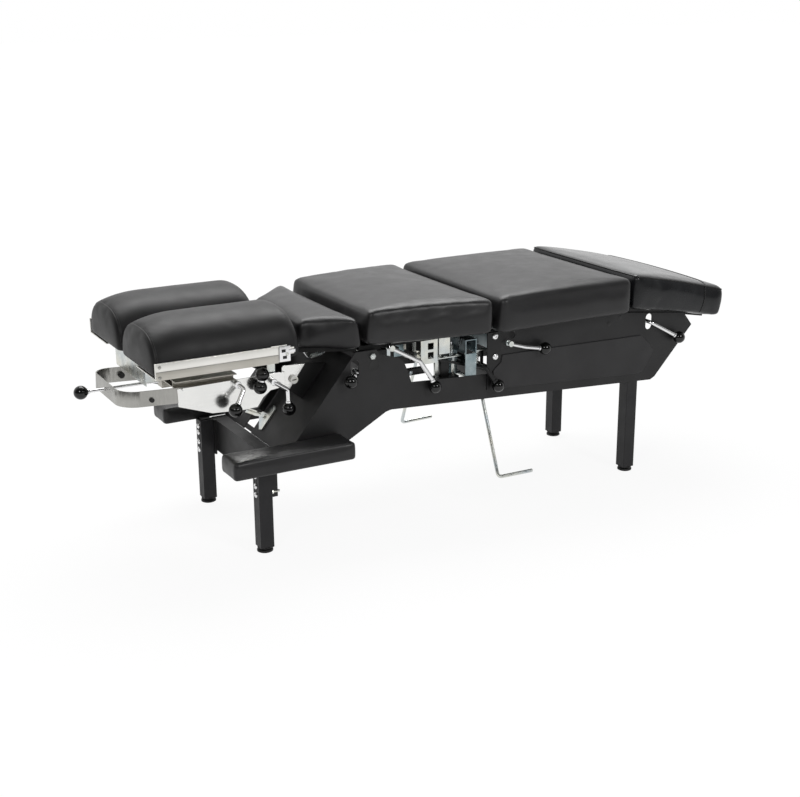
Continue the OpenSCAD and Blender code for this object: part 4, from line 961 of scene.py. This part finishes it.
def make_mechanism():
    """Springs, posts, screws and stop plates of the drop mechanism in the side notch."""
    fixed, dorsal = BODY_OF["drop_channels"], BODY_OF["dorsal_frame"]
    screw = [(0, 0), (4.6, 0), (5.4, 0.8), (5, 2), (2.6, 2.8), (1.4, 2.8), (1.2, 1.8), (0, 1.8)]
    for side, name in SIDES:
        y, bar_y, stop_y, tie_y = side * GUIDE_Y, side * BAR_Y, side * STOP_Y, side * TIE_Y

        def block(piece, x0, x1, mid, half, z0, z1, slot="zinc", bevel=0.8, body=fixed):
            bevelled_box(f"{piece}_{name}", at(x0, mid - half, z0), at(x1, mid + half, z1), body, slot,
                         bevel=bevel)

        block("guide_leg", 537, 549, y, 4, POST_Z, 444)
        block("guide_post", 594, 604, y, 3, POST_Z, 444)
        block("guide_shelf", 533, 614, y, 16, SHELF_Z, SHELF_TOP)
        for k, x in enumerate((552, 590)):
            coil_spring(f"return_spring_{name}_{k}", at(x, y, 448), at(x, y, 478), 7, 6.5, fixed)
            turned(f"spring_pin_{name}_{k}", [(0, 0), (3.4, 0), (3.4, 40), (0, 40)], at(x, y, 444), UP, fixed,
                   "zinc", "chrome_rod", count=16)
            hex_nut(f"spring_nut_{name}_{k}", at(x, y, 447.5), UP, 8.5, 5, fixed)
        for k, x in enumerate((544, 566, 604)):
            turned(f"shelf_screw_{name}_{k}", screw, at(x, y - 10, SHELF_TOP), UP, fixed, "zinc", count=20)
        coil_spring(f"stop_spring_{name}", at(STOP_X, stop_y, 410), at(STOP_X, stop_y, 450), 7.5, 7, fixed,
                    1.5)
        turned(f"stop_pin_{name}", [(0, 0), (3.6, 0), (3.6, 58), (0, 58)], at(STOP_X, stop_y, 402), UP, fixed,
               "zinc", "chrome_rod", count=16)
        block("stop_hanger", 655, 697, stop_y, 10, 450, 454, bevel=0.7)
        block("stop_strip", 681, 689, stop_y, 3, 396, 450, "black_steel", 0.7)
        block("inner_bar", 438, 505, bar_y, 8, 409, 427, "black_steel", 1)
        hex_bolt(f"inner_screw_{name}", at(455, bar_y - 8, 418), Vector((0, -1, 0)), 6, 3.4, fixed)
        block("stop_block", 553, 579, y, 10, POST_Z, 436, "black_steel", 1)
        block("stop_base", 526, 607, y, 17, TRAY_Z, POST_Z, "black_steel")
        tie = [at(x, tie_y, z) for x, z in ((549, 443), (702, 396), (702, 389), (549, 436))]
        plate_piece(f"tie_bar_{name}", tie, Vector((0, 0.003, 0)), fixed, "black_steel", bevel=0.4)
        block("dorsal_tab", 560, 575, side * TAB_Y, 2, 466, 506, bevel=0.6, body=dorsal)
        turned(f"catch_pin_{name}", [(0, 0), (3.6, 0), (3.8, 13), (3.2, 14), (0, 14)], at(437, tie_y, 487),
               UP, dorsal, "cream_nylon", count=20)
        coil_spring(f"catch_spring_{name}", at(467, tie_y, 477), at(467, tie_y, 504), 4.2, 8, dorsal, 1)
    low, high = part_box("cam_housing")
    for k, x in enumerate((low.x + 0.008, high.x - 0.008)):
        turned(f"cam_screw_{k}", [(0, 0), (4, 0), (4.6, 0.8), (4, 2.6), (1.6, 3), (1.4, 1.6), (0, 1.6)],
               Vector((x, low.y + 0.008, low.z + 0.006)), UP, BODY_OF["cam_housing"], "zinc", count=18)


def make_head_details():
    """Rail faces with their latch, the nylon bolts' slots, and the plates' rivets. The rail's lower face is
    painted darker, and the latch's windows and the bolts' slots are black, all as painted shade.
    """
    pin = pivot("head_tilt")
    screw = [(0, 0), (4, 0), (4.4, 0.6), (3.6, 1.6), (1.4, 1.9), (1.2, 0.9), (0, 0.9)]
    for side, name in SIDES:
        body = BODY_OF[f"head_rail_{name}"]
        a, b = (local(v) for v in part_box(f"head_rail_{name}"))
        face = a.y if side < 0 else b.y
        out = Vector((0, side, 0))

        def skin(piece, x0, x1, z0, z1, t, slot="satin_rail", material=None, bevel=0.5):
            y0, y1 = sorted((face, face + side * t))
            bevelled_box(f"{piece}_{name}", at(x0, y0, z0), at(x1, y1, z1), body, slot, material, bevel)

        z0, z1 = b.z - 44, b.z - 3
        mid = (z0 + z1) / 2
        skin("rail_upper", a.x + 2, b.x - 44, mid + 1, z1, 1.1)
        # The lower face is painted darker than the upper one: painted shade of a face turned from the light.
        skin("rail_lower", a.x + 2, b.x - 44, z0, mid - 0.6, 1.0, material="satin_painted_shade")
        skin("rail_lip", a.x + 2, b.x - 44, mid - 0.2, mid + 0.8, 1.8, material="brushed_bar")
        skin("latch_plate", b.x - 42, b.x - 12, z0 + 2, z1 + 1, 2.2, "zinc", "chrome_rod")
        # The latch's windows are black blocks: painted shade standing in for the dark openings.
        skin("latch_window_painted_shade_low", b.x - 33, b.x - 22, z0 + 9, z0 + 17, 2.6, "black_plastic", bevel=0.3)
        skin("latch_window_painted_shade_high", b.x - 36, b.x - 25, z1 - 15, z1 - 7, 2.6, "black_plastic", bevel=0.3)
        skin("latch_tab", b.x - 16, b.x + 1, z1 - 17, z1 - 9, 3.4, "zinc", "chrome_rod")
        hex_bolt(f"latch_bolt_{name}", at(b.x - 21, face + side * 2.2, z0 + 21), out, 4.2, 2.6, body)
        for k, z in enumerate((z0 + 7, z1 - 8)):
            turned(f"rail_screw_{name}_{k}", screw, at(a.x + 11, face + side * 1.1, z), out, body, "zinc",
                   "brushed_bar", count=24)
        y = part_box(f"head_plate_{name}")[0 if side < 0 else 1].y
        for k, (x, z) in enumerate(((-178, 452), (30, 455))):
            turned(f"plate_rivet_{name}_{k}", [(0, 0), (3.2, 0), (3.2, 0.5), (2.4, 0.9), (0, 1)],
                   Vector((at(x, 0, 0).x, y, z * MM)), out, BODY_OF[f"head_plate_{name}"], "polished_plate",
                   count=20)
        outer = side * max(abs(v.y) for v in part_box("pivot_bolts"))
        # Each nylon bolt's slot is a thin black strip: painted shade standing in for the slot's dark recess.
        bevelled_box(f"pivot_slot_painted_shade_{name}", pin + Vector((-0.006, outer - 0.0003, -0.0012)),
                     pin + Vector((0.006, outer + 0.0003, 0.0012)), BODY_OF["pivot_bolts"], "black_plastic",
                     bevel=0.1)


def make_catch():
    """A tension spring and its hooks under the head end of the thoracic board."""
    body = BODY_OF["thoracic_catch"]
    for side, name in SIDES:
        y = side * 100
        front, back = at(197, y, 480), at(233, y, 485)
        coil_spring(f"thoracic_spring_{name}", front, back, 5, 8, body)
        hooks = ([at(171, y, DECK_Z - 6), at(174, y, 498), at(186, y, 479), front],
                 [at(246, y, DECK_Z - 6), at(244, y, 490), back])
        for k, path in enumerate(hooks):
            hook = f"thoracic_hook_{name}_{k}"
            mesh = tube_mesh(hook, rounded_path(path, 0.004), 0.0026, 14)
            join_object(hook, mesh, body, "zinc", "chrome_rod")


def make_foot_rails():
    """Dark rails under the foot pad that close it against the side panels."""
    for side, name in SIDES:
        y0, y1 = sorted((side * 202.5, side * 206))
        ring = [foot_place(x, y0, z) for x, z in ((8, 0), (236, 0), (230, -12), (40, -19), (8, -15))]
        plate_piece(f"foot_rail_{name}", ring, Vector((0, (y1 - y0) * MM, 0)), BODY_OF["foot_frame"],
                    "black_powder", bevel=0.6)


# Stage and light

# Share of plain white that the camera sees in the floor, near the table and far from it. FLOOR_REACH is those
# two distances in metres. The rest is lit and holds the shadow, FLOOR_GLOW makes up for the darker lit share,
# and FLOOR_MIRRORED is the share that metal sees.
FLOOR_NEAR, FLOOR_FAR, FLOOR_GLOW, FLOOR_MIRRORED = 0.88, 0.96, 1.04, 0.68
FLOOR_REACH = (1.0, 3.0)
WORLD_DIFFUSE, GLOSSY_DARK, GLOSSY_WHITE = 0.26, 0.12, 1.0


def make_stage():
    bpy.ops.mesh.primitive_plane_add(size=60, location=(0, 0, 0))
    floor = bpy.context.object
    floor.name = "floor"
    mat = bpy.data.materials.new("floor")
    mat.use_nodes = True
    tree = mat.node_tree
    tree.nodes.clear()
    rays = new_node(tree, "ShaderNodeLightPath").outputs
    place = new_node(tree, "ShaderNodeTexCoord").outputs["Object"]
    away = new_node(tree, "ShaderNodeVectorMath", {0: place}, operation="LENGTH").outputs["Value"]
    seen = new_node(tree, "ShaderNodeMapRange", {
        "Value": away, "From Min": FLOOR_REACH[0], "From Max": FLOOR_REACH[1], "To Min": FLOOR_NEAR,
        "To Max": FLOOR_FAR}).outputs[0]
    parts = [new_node(tree, "ShaderNodeMath", {0: rays[ray], 1: part}, operation="MULTIPLY").outputs[0]
             for ray, part in (("Is Camera Ray", seen), ("Is Glossy Ray", FLOOR_MIRRORED))]
    share = new_node(tree, "ShaderNodeMath", {0: parts[0], 1: parts[1]}, operation="ADD").outputs[0]
    lit = new_node(tree, "ShaderNodeBsdfDiffuse", {"Color": (0.86, 0.86, 0.86, 1)}).outputs[0]
    glow = new_node(tree, "ShaderNodeEmission", {"Color": WHITE, "Strength": FLOOR_GLOW}).outputs[0]
    mix = new_node(tree, "ShaderNodeMixShader", {"Fac": share, 1: lit, 2: glow}).outputs[0]
    new_node(tree, "ShaderNodeOutputMaterial", {"Surface": mix})
    floor.data.materials.append(mat)


def make_world():
    """White to the camera and to mirrors that look away from it, and dim to all else."""
    world = bpy.data.worlds.new("studio")
    bpy.context.scene.world = world
    world.use_nodes = True
    tree = world.node_tree
    tree.nodes.clear()
    rays = new_node(tree, "ShaderNodeLightPath").outputs
    place = new_node(tree, "ShaderNodeTexCoord").outputs["Generated"]
    toward = new_node(tree, "ShaderNodeVectorMath", {0: place, 1: (math.sin(YAW), math.cos(YAW), 0)},
                      operation="DOT_PRODUCT").outputs["Value"]
    room = new_node(tree, "ShaderNodeMapRange", {
        "Value": toward, "From Min": -0.35, "From Max": 0.45, "To Min": GLOSSY_DARK, "To Max": GLOSSY_WHITE,
    }, interpolation_type="SMOOTHSTEP").outputs[0]
    plain, glossy, seen = (
        new_node(tree, "ShaderNodeBackground", {"Color": WHITE, "Strength": strength}).outputs[0]
        for strength in (WORLD_DIFFUSE, room, 1.0))
    mirrors = new_node(tree, "ShaderNodeMath", {0: rays["Is Glossy Ray"], 1: rays["Is Transmission Ray"]},
                       operation="MAXIMUM").outputs[0]
    hidden = new_node(tree, "ShaderNodeMixShader", {"Fac": mirrors, 1: plain, 2: glossy}).outputs[0]
    camera = rays["Is Camera Ray"]
    both = new_node(tree, "ShaderNodeMixShader", {"Fac": camera, 1: hidden, 2: seen}).outputs[0]
    new_node(tree, "ShaderNodeOutputWorld", {"Surface": both})


def soft_box(name, place, target, size, power):
    data = bpy.data.lights.new(name, "AREA")
    data.shape = "RECTANGLE"
    data.size, data.size_y = size
    data.energy = power
    lamp = bpy.data.objects.new(name, data)
    bpy.context.scene.collection.objects.link(lamp)
    lamp.location = place
    lamp.rotation_mode = "QUATERNION"
    lamp.rotation_quaternion = (Vector(target) - Vector(place)).to_track_quat("-Z", "Y")


def make_lights():
    make_world()
    soft_box("key_left", (-2.6, -2.4, 2.5), (-0.3, 0, 0.5), (0.8, 0.8), 22)
    soft_box("fill_right", (0.9, -3.4, 2.4), (0.1, 0, 0.5), (0.7, 0.7), 34)
    soft_box("top", (0.4, 1.2, 3.0), (0.1, 0, 0.5), (3.0, 1.8), 84)


bpy.context.scene.view_settings.view_transform = "Standard"
for make in (make_camera, make_stage, make_lights, finish_cad_nodes, make_seats, make_foot, make_heads,
             make_armrests, make_levers, make_tension_knobs, make_tilt_release, make_pedals, make_bolts,
             make_shafts, make_feet, make_mechanism, make_head_details, make_catch, make_foot_rails):
    make()
